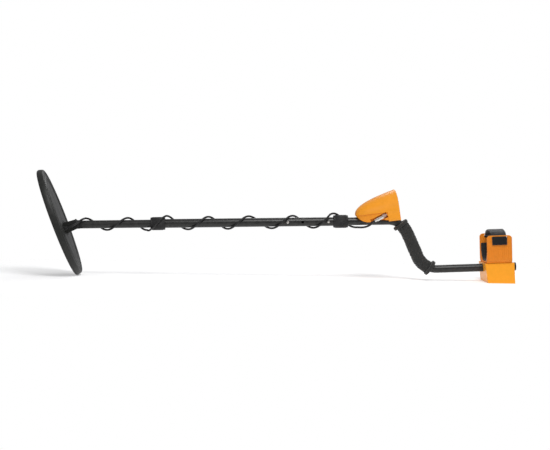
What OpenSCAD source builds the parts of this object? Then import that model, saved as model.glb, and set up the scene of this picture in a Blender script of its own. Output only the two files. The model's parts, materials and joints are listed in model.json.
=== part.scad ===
/* [Search coil] */
// Length of the elliptical search coil
coil_length = 282; // [230:1:330]
// Width of the search coil
coil_width = 216; // [170:1:240]
// Thickness of the coil at its rim
coil_thick = 17; // [14:0.5:20]
// Wall of the coil's two covers
coil_wall = 2.2; // [1.6:0.1:3]
// How far the coil narrows from its sole to its top
coil_draft = 4.5; // [2:0.5:6]
// Angle between the coil and the stem as stored
coil_angle = 70.2; // [40:0.1:85]
// Height of the tilt bolt above the coil's mid-plane
pivot_rise = 33; // [31:0.5:40]
// Distance of the tilt bolt behind the coil's centre
pivot_back = 19.5; // [0:0.5:30]

/* [Tilt joint] */
// Radius of the ears round the tilt bolt
ear_r = 12; // [11:0.5:13]
// Thickness of one ear
ear_thick = 6; // [4:0.5:8]
// Width of the stem tip's tongue
tongue_w = 19; // [14:0.5:20]
// Thickness of a rubber tilt washer
washer_thick = 2; // [1:0.25:3]
// Diameter of the tilt bolt
bolt_d = 8; // [6:0.5:9]

/* [Stem] */
// Outside diameter of the lower and the upper stem
tube_d = 20.2; // [18:0.1:22]
// Wall of every stem tube
tube_wall = 1; // [0.8:0.1:1.4]
// Length of the lower stem from the tilt bolt to its inner end
lower_len = 549; // [546:1:556]
// Distance from the tilt bolt to the lower lock's mouth
lock_x = 191; // [186:1:196]
// Distance from the tilt bolt to the upper lock's mouth
upper_lock_x = 692; // [688:1:696]
// Distance from the tilt bolt to the upper stem's front end
upper_front_x = 620; // [606:1:630]
// Length of a twist lock
lock_len = 37; // [34:1:40]
// Outside diameter of a twist lock
lock_d = 33.4; // [31:0.1:34]
// Angle that the stored stem rises towards the handle
stem_pitch = 1.7; // [0.5:0.1:3]

/* [Handle] */
// Distance from the tilt bolt to the first bend
bend_x = 795; // [793:1:800]
// Centre-line radius of both bends
bend_r = 54; // [50:1:60]
// Angle of the first bend
bend_angle = 67; // [60:1:72]
// Straight length between the two bends
bend_gap = 64; // [56:1:72]
// Rise of the rear tube against the stem
rear_rise = 1.1; // [0:0.1:2]
// Length of the rear tube behind the second bend
rear_len = 197; // [192:1:206]
// Diameter of the foam grip
grip_d = 33.5; // [29:0.5:37]
// Diameter of the grip's end flanges
flange_d = 41; // [38:0.5:45]

/* [Snap buttons] */
// Diameter of a snap button
snap_d = 6.35; // [5:0.05:6.5]
// How far a snap button stands out of the tube
snap_out = 3; // [2.5:0.1:3.5]
// Distance from the tilt bolt to the lower stem's button
lower_snap_x = 538.3; // [536:0.1:541]
// Spacing from the button to the empty hole towards the coil
hole_step_front = 76.9; // [70:0.1:80]
// Spacing from the button to the empty hole towards the handle
hole_step_rear = 38; // [30:0.5:45]
// Distance from the tilt bolt to the upper stem's button
upper_snap_x = 642.1; // [640:0.1:644]

/* [Control housing] */
// Length of the housing from its face to its nose
house_len = 108; // [100:1:112]
// Width of the housing at its face
house_w = 118; // [112:1:130]
// Height of the face, from the tube up
face_h = 76.5; // [75:0.5:82]
// Height of the seam between base and shell
seam_h = 25; // [24:0.5:26]
// Wall of the housing shell
shell_wall = 2.4; // [1.8:0.1:3]
// Lean of the face towards the coil
face_lean = 7.5; // [5:0.5:10]
// Width of a key
key_w = 11; // [8:0.5:12]
// Height of a key
key_h = 8; // [6:0.5:8.5]

/* [Arm cuff] */
// Length of the cuff along the forearm
cuff_len = 64; // [56:1:68]
// Width of the cuff outside
cuff_w = 104; // [96:1:116]
// Radius of the cuff's lower corners outside
cuff_corner = 36; // [28:1:42]
// Wall of the cuff
cuff_wall = 4; // [3:0.5:5]
// Height of the cuff's wings above the tube's centre line
wing_h = 84; // [76:1:92]
// Width of the strap
strap_w = 38; // [25:1:42]
// Thickness of the strap
strap_thick = 2; // [1.5:0.25:2.5]

/* [Cable] */
// Diameter of the coil cable
cable_d = 5; // [4:0.5:5.5]

/* [Hidden] */

$fn = 64;
far = 1000;          // longer than any cut needs to be
fit_gap = 0.1;       // running clearance between round parts
play = 0.3;          // clearance between parts that don't turn
run_gap = 0.07;      // clearance of a pin in its bore

// Derived sizes of the stem
tube_r = tube_d / 2;
slide_gap = 0.09;
middle_bore_r = tube_r + slide_gap;
middle_r = middle_bore_r + tube_wall;
lock_r = lock_d / 2;
lip_len = 2.5;
bush_len = 10;
bush_r = lock_r - 2.6;
sleeve_r = lock_r - 3.1;
middle_front_x = lock_x + lip_len + bush_len + play;
middle_rear_x = upper_lock_x - lip_len - bush_len - play;
hole_r = snap_d / 2 + 0.35;
clip_thick = 0.6;
clip_w = 8;

// Derived sizes of the coil
coil_a = coil_length / 2;
coil_b = coil_width / 2;
half_thick = coil_thick / 2;
coil_low = 3;        // radius of the sole's edge
coil_round = 5;      // radius of the top's edge
coil_floor = 20;     // how far in from the rim the flat middle starts
cover_seam = -2.5;   // height where the top cover meets the sole
fork_in = tongue_w / 2 + washer_thick + fit_gap;
fork_out = fork_in + ear_thick;
bolt_r = bolt_d / 2;
head_r = 8;
head_thick = 4;
knob_r = 13;
knob_thick = 10;
gland_y = -34;
gland_x = pivot_back;
gland_r = 6;
gland_h = 9;

// Derived sizes of the handle, in the stem's plane
rear_angle = bend_angle + rear_rise;
bend_1 = [bend_x + bend_r * sin(bend_angle), -bend_r * (1 - cos(bend_angle))];
bend_2 = bend_1 + bend_gap * [cos(bend_angle), -sin(bend_angle)];
rear_x = bend_2[0] + bend_r * (sin(bend_angle) + sin(rear_rise));
rear_z = bend_2[1] - bend_r * (cos(rear_rise) - cos(bend_angle));
grip_from = 33;      // angle round the first bend where the foam starts
grip_to = 16;        // angle left in the second bend where the foam ends
flange_len = 7;

// The coil's lowest point under the stem's axis, and so the ground
ground_tilt = coil_angle - stem_pitch;
ground_z = -((coil_a - pivot_back) * sin(ground_tilt) + (pivot_rise + half_thick) * cos(ground_tilt)
    - coil_low * (sin(ground_tilt) + cos(ground_tilt) - 1));

// The rear tube in the stored pose
rear_slope = stem_pitch + rear_rise;
rear_start = [rear_x * cos(stem_pitch) - rear_z * sin(stem_pitch),
    rear_x * sin(stem_pitch) + rear_z * cos(stem_pitch) - ground_z];
rear_end = rear_start + rear_len * [cos(rear_slope), sin(rear_slope)];

// The whole object's box, centred on the origin
coil_front = -((coil_a + pivot_back) * cos(ground_tilt)) - (pivot_rise + half_thick) * sin(ground_tilt)
    + coil_low * (cos(ground_tilt) + sin(ground_tilt) - 1);
cap_len = 5;
object_rear = rear_end[0] + cap_len * cos(rear_slope) + (tube_r + play) * sin(rear_slope);
centre_x = (coil_front + object_rear) / 2;

// Puts a piece drawn along the level stem into its stored place
module stored() translate([-centre_x, 0, -ground_z]) rotate([0, -stem_pitch, 0]) children();

// Puts a piece drawn in the coil's own frame under the tilt bolt
module on_coil() stored() rotate([0, coil_angle, 0]) translate([-pivot_back, 0, -pivot_rise]) children();

// Puts a piece on the rear tube: x runs back along it from the second bend
module on_rear_tube() stored() translate([rear_x, 0, rear_z]) rotate([0, -rear_rise, 0]) children();

// A bar along x, from one station to another
module rod_x(from, to, r) translate([from, 0, 0]) rotate([0, 90, 0]) cylinder(h = to - from, r = r);

// A bar along y, centred
module rod_y(len, r) rotate([90, 0, 0]) cylinder(h = len, r = r, center = true);

// A tube along x
module tube_x(from, to, r_out, r_in) difference() {
    rod_x(from, to, r_out);
    rod_x(from - 1, to + 1, r_in);
}

// A closed solid through rings of equal length, with flat ends
module loft(rings) {
    n = len(rings[0]);
    last = len(rings) - 1;
    sides = [for (i = [0 : last - 1], j = [0 : n - 1])
        each [[i * n + j, i * n + (j + 1) % n, (i + 1) * n + (j + 1) % n],
              [i * n + j, (i + 1) * n + (j + 1) % n, (i + 1) * n + j]]];
    polyhedron(
        points = [for (ring = rings) each ring],
        faces = concat([[for (j = [n - 1 : -1 : 0]) j]], sides, [[for (j = [0 : n - 1]) last * n + j]]));
}

// ---- Search coil ----

ring_points = 72;

// One elliptical ring: how far in from the rim, and how high
function coil_ring(inset, z) = [for (i = [0 : ring_points - 1]) let (t = -360 * i / ring_points)
    [(coil_a - inset) * cos(t), (coil_b - inset) * sin(t), z]];

// The coil's outline from its seam up to the flat middle, in from the rim and up
top_edge = [
    [coil_draft * (cover_seam + half_thick) / coil_thick, cover_seam],
    for (t = [0 : 22.5 : 90])
        [coil_draft + coil_round * (1 - cos(t)), half_thick - coil_round * (1 - sin(t))],
];
sole_edge = [for (t = [90 : -30 : 0]) [coil_low * (1 - cos(t)), -half_thick + coil_low * (1 - sin(t))]];

module coil_top_cover() color("#2b2b29") on_coil() difference() {
    union() {
        loft(concat(
            [coil_ring(coil_wall + top_edge[0][0], cover_seam)],
            [for (p = top_edge) coil_ring(p[0], p[1])],
            [coil_ring(coil_draft + coil_floor, half_thick)]));
        for (side = [-1, 1]) ear(side);
    }
    translate([0, 0, -coil_wall]) loft(concat(
        [coil_ring(coil_wall + 1, cover_seam - coil_thick)],
        [for (p = top_edge) coil_ring(p[0] + coil_wall, p[1])],
        [coil_ring(coil_draft + coil_floor, half_thick)]));
    translate([pivot_back, 0, pivot_rise]) rod_y(far, bolt_r + run_gap);
    translate([gland_x, gland_y, 0]) cylinder(h = coil_thick, r = gland_r - 2);
}

// One ear of the fork that holds the stem's tip
module ear(side) {
    foot_w = ear_r + 3;
    translate([0, side * (fork_in + ear_thick / 2), 0]) hull() {
        translate([pivot_back, 0, pivot_rise]) rod_y(ear_thick, ear_r);
        translate([pivot_back - foot_w, -ear_thick / 2, half_thick - coil_wall / 2])
            cube([2 * foot_w, ear_thick, 1]);
    }
}

module coil_sole() color("#262625") on_coil() difference() {
    loft(concat(
        [for (p = sole_edge) coil_ring(p[0], p[1])],
        [coil_ring(top_edge[0][0], cover_seam)]));
    translate([0, 0, -half_thick + coil_wall])
        linear_extrude(coil_thick) polygon([for (p = coil_ring(coil_wall + coil_low + 1, 0)) [p[0], p[1]]]);
}

// A flat ring winding of elliptical outline, squeezed to one side
module winding(scale_b, shift, z) {
    wire = 6;
    inset = coil_draft + coil_wall + coil_round + 4;
    a = winding_reach * (coil_a - inset);
    b = (coil_b - inset) * scale_b;
    outline = [for (i = [0 : ring_points - 1]) let (t = 360 * i / ring_points) [a * cos(t), b * sin(t)]];
    inner = [for (i = [0 : ring_points - 1]) let (t = 360 * i / ring_points)
        [(a - wire) * cos(t), (b - wire) * sin(t)]];
    translate([0, shift, z]) linear_extrude(winding_h) difference() {
        polygon(outline);
        polygon(inner);
    }
}

winding_h = 3;
winding_share = 0.56;
winding_reach = 0.9;
winding_z = -half_thick + coil_wall;

module transmit_winding() color("#b5703a") on_coil()
    winding(winding_share, -(1 - winding_share) * (coil_b - 16), winding_z);

module receive_winding() color("#a8632f") on_coil()
    winding(winding_share, (1 - winding_share) * (coil_b - 16), winding_z + winding_h);

module cable_gland() color("#1c1c1c") on_coil() translate([gland_x, gland_y, 0]) difference() {
    union() {
        translate([0, 0, half_thick]) cylinder(h = 3, r = gland_r);
        translate([0, 0, half_thick]) cylinder(h = gland_h, r1 = gland_r - 1, r2 = gland_r - 2.4);
        translate([0, 0, half_thick - coil_wall]) cylinder(h = coil_wall, r = gland_r - 2 - fit_gap);
    }
    translate([0, 0, -coil_thick]) cylinder(h = far, r = cable_d / 2 + fit_gap);
}

// ---- Tilt joint ----

module tilt_bolt() color("#151515") stored() {
    bolt_end = fork_out + knob_thick - 2;
    translate([0, (bolt_end - fork_out) / 2, 0]) rod_y(bolt_end + fork_out, bolt_r);
    translate([0, -fork_out - head_thick / 2, 0]) rod_y(head_thick, head_r);
}

module tilt_washers() color("#0e0e0e") stored() for (side = [-1, 1])
    translate([0, side * (tongue_w + washer_thick) / 2, 0]) difference() {
        rod_y(washer_thick - 2 * fit_gap, ear_r - 1.5);
        rod_y(far, bolt_r + fit_gap);
    }

module tilt_knob() color("#1b1b1b") stored() translate([0, fork_out + fit_gap + knob_thick / 2, 0])
    difference() {
    union() {
        rod_y(knob_thick, knob_r - 2);
        for (t = [0 : 45 : 315]) rotate([0, t, 0]) translate([knob_r - 3, 0, 0]) rod_y(knob_thick, 3);
    }
    rod_y(far, bolt_r + run_gap);
}

module stem_tip() color("#202020") stored() difference() {
    union() {
        rod_y(tongue_w, tube_r);
        translate([0, -tongue_w / 2, -tube_r]) cube([tip_shoulder, tongue_w, 2 * tube_r]);
        rod_x(tip_shoulder - 0.5, tip_shoulder + tip_collar, tube_r);
        rod_x(tip_shoulder, tip_shoulder + tip_collar + tip_plug, tube_r - tube_wall - fit_gap);
    }
    rod_y(far, bolt_r + run_gap);
    rod_x(tip_shoulder + 8, far, tube_r - tube_wall - 3);
}

tip_shoulder = 13;
tip_collar = 6;
tip_plug = 34;

// ---- Stem ----

// A round hole through the near wall of the stem, at one station
module near_hole(x, r) translate([x, 0, 0]) rotate([90, 0, 0]) cylinder(h = lock_r, r = r);

module lower_stem() color("#232322") stored() difference() {
    tube_x(tip_shoulder + tip_collar, lower_len, tube_r, tube_r - tube_wall);
    near_hole(lower_snap_x, hole_r);
}

module middle_stem() color("#262625") stored() difference() {
    tube_x(middle_front_x, middle_rear_x, middle_r, middle_bore_r);
    for (step = [-hole_step_front, 0, hole_step_rear]) near_hole(lower_snap_x + step, hole_r);
    near_hole(upper_snap_x, hole_r);
}

// A bend of the S, turned about its own centre: from one angle, through a sweep
module bend(centre, from, sweep) translate([centre[0], 0, centre[1]]) rotate([90, 0, 0])
    rotate([0, 0, from]) rotate_extrude(angle = sweep) translate([bend_r, 0]) children();

bend_1_centre = [bend_x, -bend_r];
bend_2_centre = bend_2 + bend_r * [sin(bend_angle), cos(bend_angle)];

// How much thinner a bend is than the straight tube that it runs into
bend_thinning = 0.03;

module ring(r_out, r_in) difference() {
    circle(r_out);
    circle(r_in);
}

module upper_stem() color("#232322") stored() difference() {
    union() {
        tube_x(upper_front_x, bend_x, tube_r, tube_r - tube_wall);
        bend(bend_1_centre, 90 - bend_angle - 1, bend_angle + 2)
            ring(tube_r - bend_thinning, tube_r - tube_wall + bend_thinning);
        translate([bend_1[0], 0, bend_1[1]]) rotate([0, bend_angle, 0])
            tube_x(0, bend_gap, tube_r, tube_r - tube_wall);
        bend(bend_2_centre, 270 - bend_angle - 1, rear_angle + 2)
            ring(tube_r - bend_thinning, tube_r - tube_wall + bend_thinning);
        translate([rear_x, 0, rear_z]) rotate([0, -rear_rise, 0])
            tube_x(0, rear_len, tube_r, tube_r - tube_wall);
    }
    near_hole(upper_snap_x, hole_r);
    for (x = stem_screw_x) translate([x, 0, 0]) cylinder(h = lock_r, r = screw_r + play);
    translate([rear_x, 0, rear_z]) rotate([0, -rear_rise, 0])
        for (x = cuff_bolt_x) translate([x, 0, 0])
            cylinder(h = lock_d, r = cuff_bolt_r + play, center = true);
}

stem_screw_x = [bend_x - 67, bend_x + 5];
screw_r = 1.75;

module tube_end_cap() color("#141414") on_rear_tube() {
    rod_x(rear_len, rear_len + cap_len, tube_r + play);
    rod_x(rear_len - 12, rear_len, tube_r - tube_wall - fit_gap);
}

grip_bore_r = tube_r + fit_gap;

module grip_section() ring(grip_d / 2 - bend_thinning, grip_bore_r + bend_thinning);
module flange_section() ring(flange_d / 2, grip_bore_r + 2 * bend_thinning);

// The foam grip, from one bend to the other, with its bore round the tube
module hand_grip() color("#262626") stored() {
    flange_angle = flange_len / bend_r * 180 / PI;
    translate([bend_1[0], 0, bend_1[1]]) rotate([0, bend_angle, 0])
        tube_x(0, bend_gap, grip_d / 2, grip_bore_r);
    bend(bend_1_centre, 89 - bend_angle, bend_angle - grip_from) grip_section();
    bend(bend_2_centre, 269 - bend_angle, bend_angle - grip_to) grip_section();
    bend(bend_1_centre, 90 - grip_from - flange_angle, flange_angle) flange_section();
    bend(bend_2_centre, 270 - grip_to - flange_angle, flange_angle) flange_section();
}

// ---- Twist locks, drawn with their mouth at x = 0 and the middle stem's end towards +x ----

// The threaded sleeve bonded to the end of the middle stem
module lock_sleeve() tube_x(lip_len + bush_len + play, lock_len - 2, sleeve_r, middle_r + fit_gap);

// The split bush that closes on the inner tube
module lock_bush() difference() {
    tube_x(lip_len + fit_gap, lip_len + bush_len, bush_r, tube_r + slide_gap);
    translate([0, -1, 0]) cube([lock_len, 2, lock_r]);
}

// The nut, with ribs to grip it by
module lock_nut() difference() {
    union() {
        rod_x(0, lock_len, lock_r - rib_h);
        for (t = [0 : 360 / lock_ribs : 359]) rotate([t, 0, 0]) translate([rib_from, 0, lock_r - rib_r])
            rod_x(0, lock_len - 2 * rib_from, rib_r);
    }
    rod_x(-1, lock_len, tube_r + 2 * play);
    rod_x(lip_len, lock_len, bush_r + fit_gap);
    rod_x(lock_len - 2, lock_len + 1, sleeve_r + fit_gap);
}

rib_h = 0.6;
rib_r = 1.4;
rib_from = 3;
lock_ribs = 18;

module at_lower_lock() stored() translate([lock_x, 0, 0]) children();
module at_upper_lock() stored() translate([upper_lock_x, 0, 0]) mirror([1, 0, 0]) children();

module lower_lock_sleeve() color("#1e1e1e") at_lower_lock() lock_sleeve();
module lower_lock_bush() color("#3a3a38") at_lower_lock() lock_bush();
module lower_lock_nut() color("#1f1f1f") at_lower_lock() lock_nut();
module upper_lock_sleeve() color("#1e1e1e") at_upper_lock() lock_sleeve();
module upper_lock_bush() color("#3a3a38") at_upper_lock() lock_bush();
module upper_lock_nut() color("#1f1f1f") at_upper_lock() lock_nut();

// ---- Snap buttons ----

bore_r = tube_r - tube_wall;
clip_y = -(bore_r - 2.4);      // where the spring's near leg lies
clip_len = 34;

// A folded strip inside the tube: a near leg, a bend and a far leg
module spring_clip(x) stored() translate([x, 0, 0]) {
    leg_x = 10;
    translate([-leg_x, clip_y, -clip_w / 2]) cube([clip_len, clip_thick, clip_w]);
    translate([-leg_x, -clip_y - clip_thick, -clip_w / 2]) cube([clip_len, clip_thick, clip_w]);
    translate([clip_len - leg_x, clip_y, -clip_w / 2]) cube([clip_thick, -2 * clip_y, clip_w]);
}

// A round-topped button that stands out of the near wall
module snap_button(x, wall_r) stored() translate([x, 0, 0]) rotate([90, 0, 0]) {
    dome_h = 1.2;
    foot_z = -clip_y;
    cylinder_h = wall_r + snap_out - dome_h - foot_z;
    translate([0, 0, foot_z]) cylinder(h = 0.8, r = snap_d / 2 + 0.9);
    translate([0, 0, foot_z]) cylinder(h = cylinder_h, r = snap_d / 2);
    translate([0, 0, foot_z + cylinder_h]) cylinder(h = dome_h, r1 = snap_d / 2, r2 = snap_d / 2 - 1.2);
}

module lower_spring_clip() color("#8f8f8a") spring_clip(lower_snap_x);
module upper_spring_clip() color("#8f8f8a") spring_clip(upper_snap_x);
module lower_snap_button() color("#d9d9d6") snap_button(lower_snap_x, middle_r);
module upper_snap_button() color("#d9d9d6") snap_button(upper_snap_x, middle_r);

// ---- Control housing, drawn with its face at x = 0 and its nose towards -x ----

face_x = bend_x + 26.2;         // station of the face's lower edge
face_z = 4.1;                   // height of the face's lower edge over the stem's axis
top_power = 0.44;               // how bluntly the top rises from the nose
plan_power = 0.4;               // how bluntly the sides leave the nose
section_power = 0.82;           // how square a section is
section_steps = 20;
house_steps = [0, 0.01, 0.04, 0.1, 0.18, 0.28, 0.4, 0.55, 0.7, 0.85, 1];
shell_h = face_h - seam_h;
base_inset = 2;                 // the base stands in under the shell

module at_face() stored() translate([face_x, 0, face_z]) rotate([0, -face_lean, 0]) children();

// One arch of the shell: share of the length from the nose, and how far inside
function arch_point(u, t, inset, drop) = let (
        w = max(house_w / 2 * pow(u, plan_power) - inset, 0.5),
        h = max(shell_h * pow(u, top_power) - inset, 0.5),
        c = cos(t), s = sin(t))
    [w * sign(c) * pow(abs(c), section_power), h * pow(abs(s), section_power) - (s < 0.001 ? drop : 0)];

function arch(u, inset, drop) = [for (i = [0 : section_steps])
    arch_point(u, 180 - 180 * i / section_steps, inset, drop)];

// The dome from nose to face; a drop carries its floor lower
module dome(inset, drop, overrun) loft(concat(
    [for (u = house_steps) if (house_len * u > inset || inset == 0)
        [for (p = arch(max(u, 0.002), inset, drop))
        [house_len * (u - 1) + (inset > 0 && u < 0.05 ? inset : 0), p[0], seam_h + p[1]]]],
    [if (overrun) [for (p = arch(1, inset, drop)) [5, p[0], seam_h + p[1]]]]));

// Outline of the face's arch, looking at the face: across and up
module face_outline(inset) polygon([for (p = arch(1, inset, 0)) [p[0], seam_h + p[1]]]);

// Stands an outline drawn across and up at the face, reaching back by a depth
module behind_face(depth) translate([-depth, 0, 0]) rotate([90, 0, 90]) linear_extrude(depth) children();

// The plane that the battery door slides on
door_x = -house_len + 4;
door_z = 33;
door_slope = 30.5;
door_len = 58;
door_w = 44;

module on_door_plane() translate([door_x, 0, door_z]) rotate([0, -door_slope, 0]) children();

module door_prism(gap) on_door_plane() translate([-door_len, -door_w / 2 - gap, 0])
    cube([2 * door_len + gap, door_w + 2 * gap, far]);

bezel_thick = 4;
bezel_wall = 1.3;               // shell left round the bezel
bezel_floor = seam_h + 2;       // lowest edge of the bezel

module bezel_outline(gap) intersection() {
    face_outline(bezel_wall - gap);
    translate([-house_w / 2, bezel_floor - gap]) square([house_w, face_h]);
}

module housing_shell() color("#f09a2c") at_face() difference() {
    dome(0, 0, false);
    dome(shell_wall, 4, true);
    door_prism(play);
    translate([1, 0, 0]) behind_face(bezel_thick + 1 + play) bezel_outline(play / 2);
}

module battery_door() color("#ec9427") at_face() difference() {
    intersection() {
        dome(0, 0, false);
        door_prism(0);
    }
    dome(shell_wall, 4, true);
}

// Half the base's outline seen from above, as a share of the length from the nose
function base_half_w(u) = max(house_w / 2 * pow(u, plan_power) - base_inset, 1);

// The recess at the near side that the connector lies in, along the plug's own axis
plug_slope = 20.5;
plug_x = -32;
plug_y = -36;
plug_z = 18.5;
recess_w = 14;
plug_len = 28;
ring_len = 9;
ring_r = 6.2;
plug_r = 5.2;

module on_plug_axis() translate([plug_x, plug_y, plug_z]) rotate([0, -plug_slope, 0]) children();

module base_plan(inset) polygon(concat(
    [for (u = [0.004, 0.03, 0.08, each [0.15 : 0.12 : 0.99], 1])
        [house_len * (u - 1) + inset, base_half_w(u) - inset]],
    [for (u = [1, each [0.99 : -0.12 : 0.15], 0.08, 0.03, 0.004])
        [house_len * (u - 1) + inset, -base_half_w(u) + inset]]));

// The base's side outline: across the length and up
base_side = [[-house_len, seam_h], [-99.5, 14.3], [-91, 8], [-83.6, 5], [-72, 4.6], [-60, 9.6],
    [-50, 6.5], [0, 0], [0, seam_h]];

module base_block() intersection() {
    linear_extrude(seam_h) base_plan(0);
    rotate([90, 0, 0]) linear_extrude(house_w, center = true) polygon(base_side);
}

module housing_base() color("#e0801f") difference() {
    union() {
        at_face() difference() {
            base_block();
            intersection() {
                translate([0, 0, 14.5]) linear_extrude(seam_h) base_plan(shell_wall);
                translate([-house_len, -house_w / 2, 0])
                    cube([house_len - shell_wall, house_w, seam_h + 1]);
                translate([-house_len + 24, -house_w / 2 + 42, 0])
                    cube([house_len, house_w, seam_h + 1]);
            }
            recess();
            translate([1, 0, 0]) behind_face(1 + shell_wall) jack_hole();
            translate([-shell_wall, jack_y, jack_z]) rotate([0, -90, 0]) cylinder(h = 20, r = jack_body_r);
        }
        stored() for (x = stem_screw_x) translate([x, 0, 0]) cylinder(h = face_z + 8, r = 5);
    }
    stored() rod_x(upper_front_x, bend_x + 1, tube_r + 0.02);
    stored() bend(bend_1_centre, 90 - bend_angle, bend_angle + 2) circle(tube_r + play);
    stored() for (x = stem_screw_x) translate([x, 0, tube_r - 1]) cylinder(h = 14, r = screw_r);
    stored() translate([upper_lock_x - 20, 0, 0]) rod_x(0, 22, lock_r + 1);
}

// The cut for the connector: a slot along the plug's axis, open to the near side and below
module recess() {
    recess_len = plug_len + 14;
    translate([0, plug_y + recess_w / 2, 0]) rotate([90, 0, 0]) linear_extrude(far) {
        translate([plug_x, plug_z]) rotate(plug_slope) translate([-recess_len, -recess_w / 2])
            square([recess_len, recess_w]);
        translate([plug_x - recess_len, -1]) square([recess_len - 6, plug_z - 6]);
    }
    on_plug_axis() rod_x(-1, 12, socket_r);
}

socket_r = 5;

module coil_socket() color("#8b8b88") at_face() on_plug_axis() difference() {
    union() {
        rod_x(-3, 11.5, socket_r - fit_gap);
        rod_x(-1.5, 0, socket_r + 1);
    }
    rod_x(-4, 8, socket_r - 1.6);
}

module coil_plug() color("#c9c5bb") at_face() on_plug_axis() {
    rod_x(-plug_len, -3 - ring_len, plug_r);
    rod_x(-3 - ring_len, -3 - fit_gap, socket_r - 0.6);
    rod_x(-3 - fit_gap, 6, socket_r - 1.6 - fit_gap);
    rod_x(-plug_len - 6, -plug_len, cable_d / 2 + 1.4);
}

module coupling_ring() color("#dcdad2") at_face() on_plug_axis() difference() {
    union() {
        rod_x(-3 - ring_len + play, -3, ring_r - 0.5);
        for (t = [0 : 20 : 340]) rotate([t, 0, 0]) translate([-3 - ring_len + 1, 0, ring_r - 0.6])
            rod_x(0, ring_len - 2, 0.6);
    }
    rod_x(-20, 1, socket_r - 0.6 + run_gap);
    rod_x(-6, 1, socket_r + fit_gap);
}

// ---- Face of the housing ----

window_w = 56;
window_h = 26;
window_z = 56;
window_thick = 1.6;
key_r = 2;

// Where each key sits on the face: across and up
function key_place(i) = [
    [-36, 34], [-12, 34], [12, 34], [36, 34],
    [-42, 44.5], [42, 44.5], [-36, 55], [36, 55],
][i];

module rounded(w, h, r) {
    square([w, h - 2 * r], center = true);
    square([w - 2 * r, h], center = true);
    for (sx = [-1, 1], sy = [-1, 1]) translate([sx * (w / 2 - r), sy * (h / 2 - r)]) circle(r);
}

module key_outline(gap) rounded(key_w + 2 * gap, key_h + 2 * gap, key_r + gap);

module display_bezel() color("#1b1b1c") at_face() difference() {
    behind_face(bezel_thick) bezel_outline(0);
    translate([1, 0, 0]) behind_face(bezel_thick + 2) translate([0, window_z])
        rounded(window_w - 4, window_h - 4, 2);
    translate([1, 0, 0]) behind_face(1 + window_thick) translate([0, window_z])
        rounded(window_w + 2 * fit_gap, window_h + 2 * fit_gap, 3);
    for (i = [0 : 7]) translate([1, key_place(i)[0], key_place(i)[1]]) behind_face(bezel_thick + 2)
        key_outline(play);
}

module display_window() color("#9fb0a8", 0.4) at_face() behind_face(window_thick)
    translate([0, window_z]) rounded(window_w, window_h, 3);

module display_module() color("#7f8c7a") at_face() translate([-bezel_thick - play, 0, 0])
    behind_face(5) translate([0, window_z]) square([window_w - 10, window_h], center = true);

board_x = -bezel_thick - 5 - 2 * play;

module circuit_board() color("#2f6b45") at_face() translate([board_x, 0, 0]) {
    behind_face(1.6) translate([-42, seam_h + 3]) square([84, 24]);
    behind_face(1.6) translate([-25, seam_h + 27]) square([50, 14]);
    for (i = [-1, 0, 1]) translate([-1.6, i * 24, seam_h + 20])
        behind_face(1.4) square([12, 9], center = true);
}

// A key: its cap, its flange behind the bezel and its stem
module key(i) color("#33353a") at_face() translate([key_out, key_place(i)[0], key_place(i)[1]]) {
    behind_face(key_out + bezel_thick + play) key_outline(0);
    translate([-key_out - bezel_thick - play, 0, 0]) behind_face(1) key_outline(0.8);
}

key_out = 1.2;

module key_power() key(0);
module key_mode() key(1);
module key_pinpoint() key(2);
module key_eliminate() key(3);
module key_notch_left() key(4);
module key_notch_right() key(5);
module key_sense_down() key(6);
module key_sense_up() key(7);

speaker_x = -24;
speaker_r = 12.5;

module speaker() color("#2a2a2a") at_face() translate([speaker_x, 0, seam_h + 1]) {
    cylinder(h = 3, r = speaker_r);
    translate([0, 0, 3]) cylinder(h = 6, r1 = speaker_r - 1, r2 = 7);
    translate([0, 0, 9]) cylinder(h = 4, r = 7);
}

cell_r = 7.1;
cell_len = 50;
cell_gap = 0.2;
tray_x = -62;
tray_z = seam_h + 1;
tray_wall = 1.2;
tray_half_x = 3 * cell_r + cell_gap + tray_wall;
tray_half_y = cell_len / 2 + 3;

// Cell places across the tray: three side by side, the fourth in the dip behind the middle one
cell_pitch = 2 * cell_r + cell_gap;
cell_places = [[-cell_pitch, 0], [0, 0], [cell_pitch, 0], [cell_pitch / 2, cell_pitch * cos(30)]];

module battery_tray() color("#202020") at_face() translate([tray_x, 0, tray_z]) difference() {
    translate([-tray_half_x, -tray_half_y, 0]) cube([2 * tray_half_x, 2 * tray_half_y, 8]);
    translate([tray_wall - tray_half_x, tray_wall - tray_half_y, tray_wall])
        cube([2 * (tray_half_x - tray_wall), 2 * (tray_half_y - tray_wall), far]);
}

module battery_cells() color("#3d4a55") at_face() for (p = cell_places)
    translate([tray_x + p[0], 0, tray_z + tray_wall + cell_gap + cell_r + p[1]]) rod_y(cell_len, cell_r);

module battery_contacts() color("#b9b6aa") at_face() for (p = cell_places, side = [-1, 1])
    translate([tray_x + p[0] - 4, side * (cell_len / 2 + 0.7) - 0.5, tray_z + tray_wall + 3 + p[1]])
        cube([8, 1, 8]);

// The socket for a 6.35 mm plug, in the base's rear wall
jack_y = 40;
jack_z = 13.5;
jack_bore_r = 3.25;
jack_thread_r = 4.5;
jack_body_r = 7;
jack_len = 16;

module jack_hole() translate([jack_y, jack_z]) circle(jack_thread_r + fit_gap);

module headphone_socket() color("#1a1a1a") at_face() translate([0, jack_y, jack_z]) difference() {
    union() {
        rod_x(-shell_wall - jack_len, -shell_wall - fit_gap, jack_body_r - play);
        rod_x(-shell_wall - fit_gap, 3, jack_thread_r);
    }
    rod_x(-shell_wall - jack_len + 1.5, 4, jack_bore_r);
}

module socket_nut() color("#c4c4c0") at_face() translate([0.02, jack_y, jack_z]) difference() {
    rotate([0, 90, 0]) cylinder(h = 2.2, r = jack_thread_r + 2.2, $fn = 6);
    rod_x(-1, 4, jack_thread_r + 0.02);
}

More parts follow.
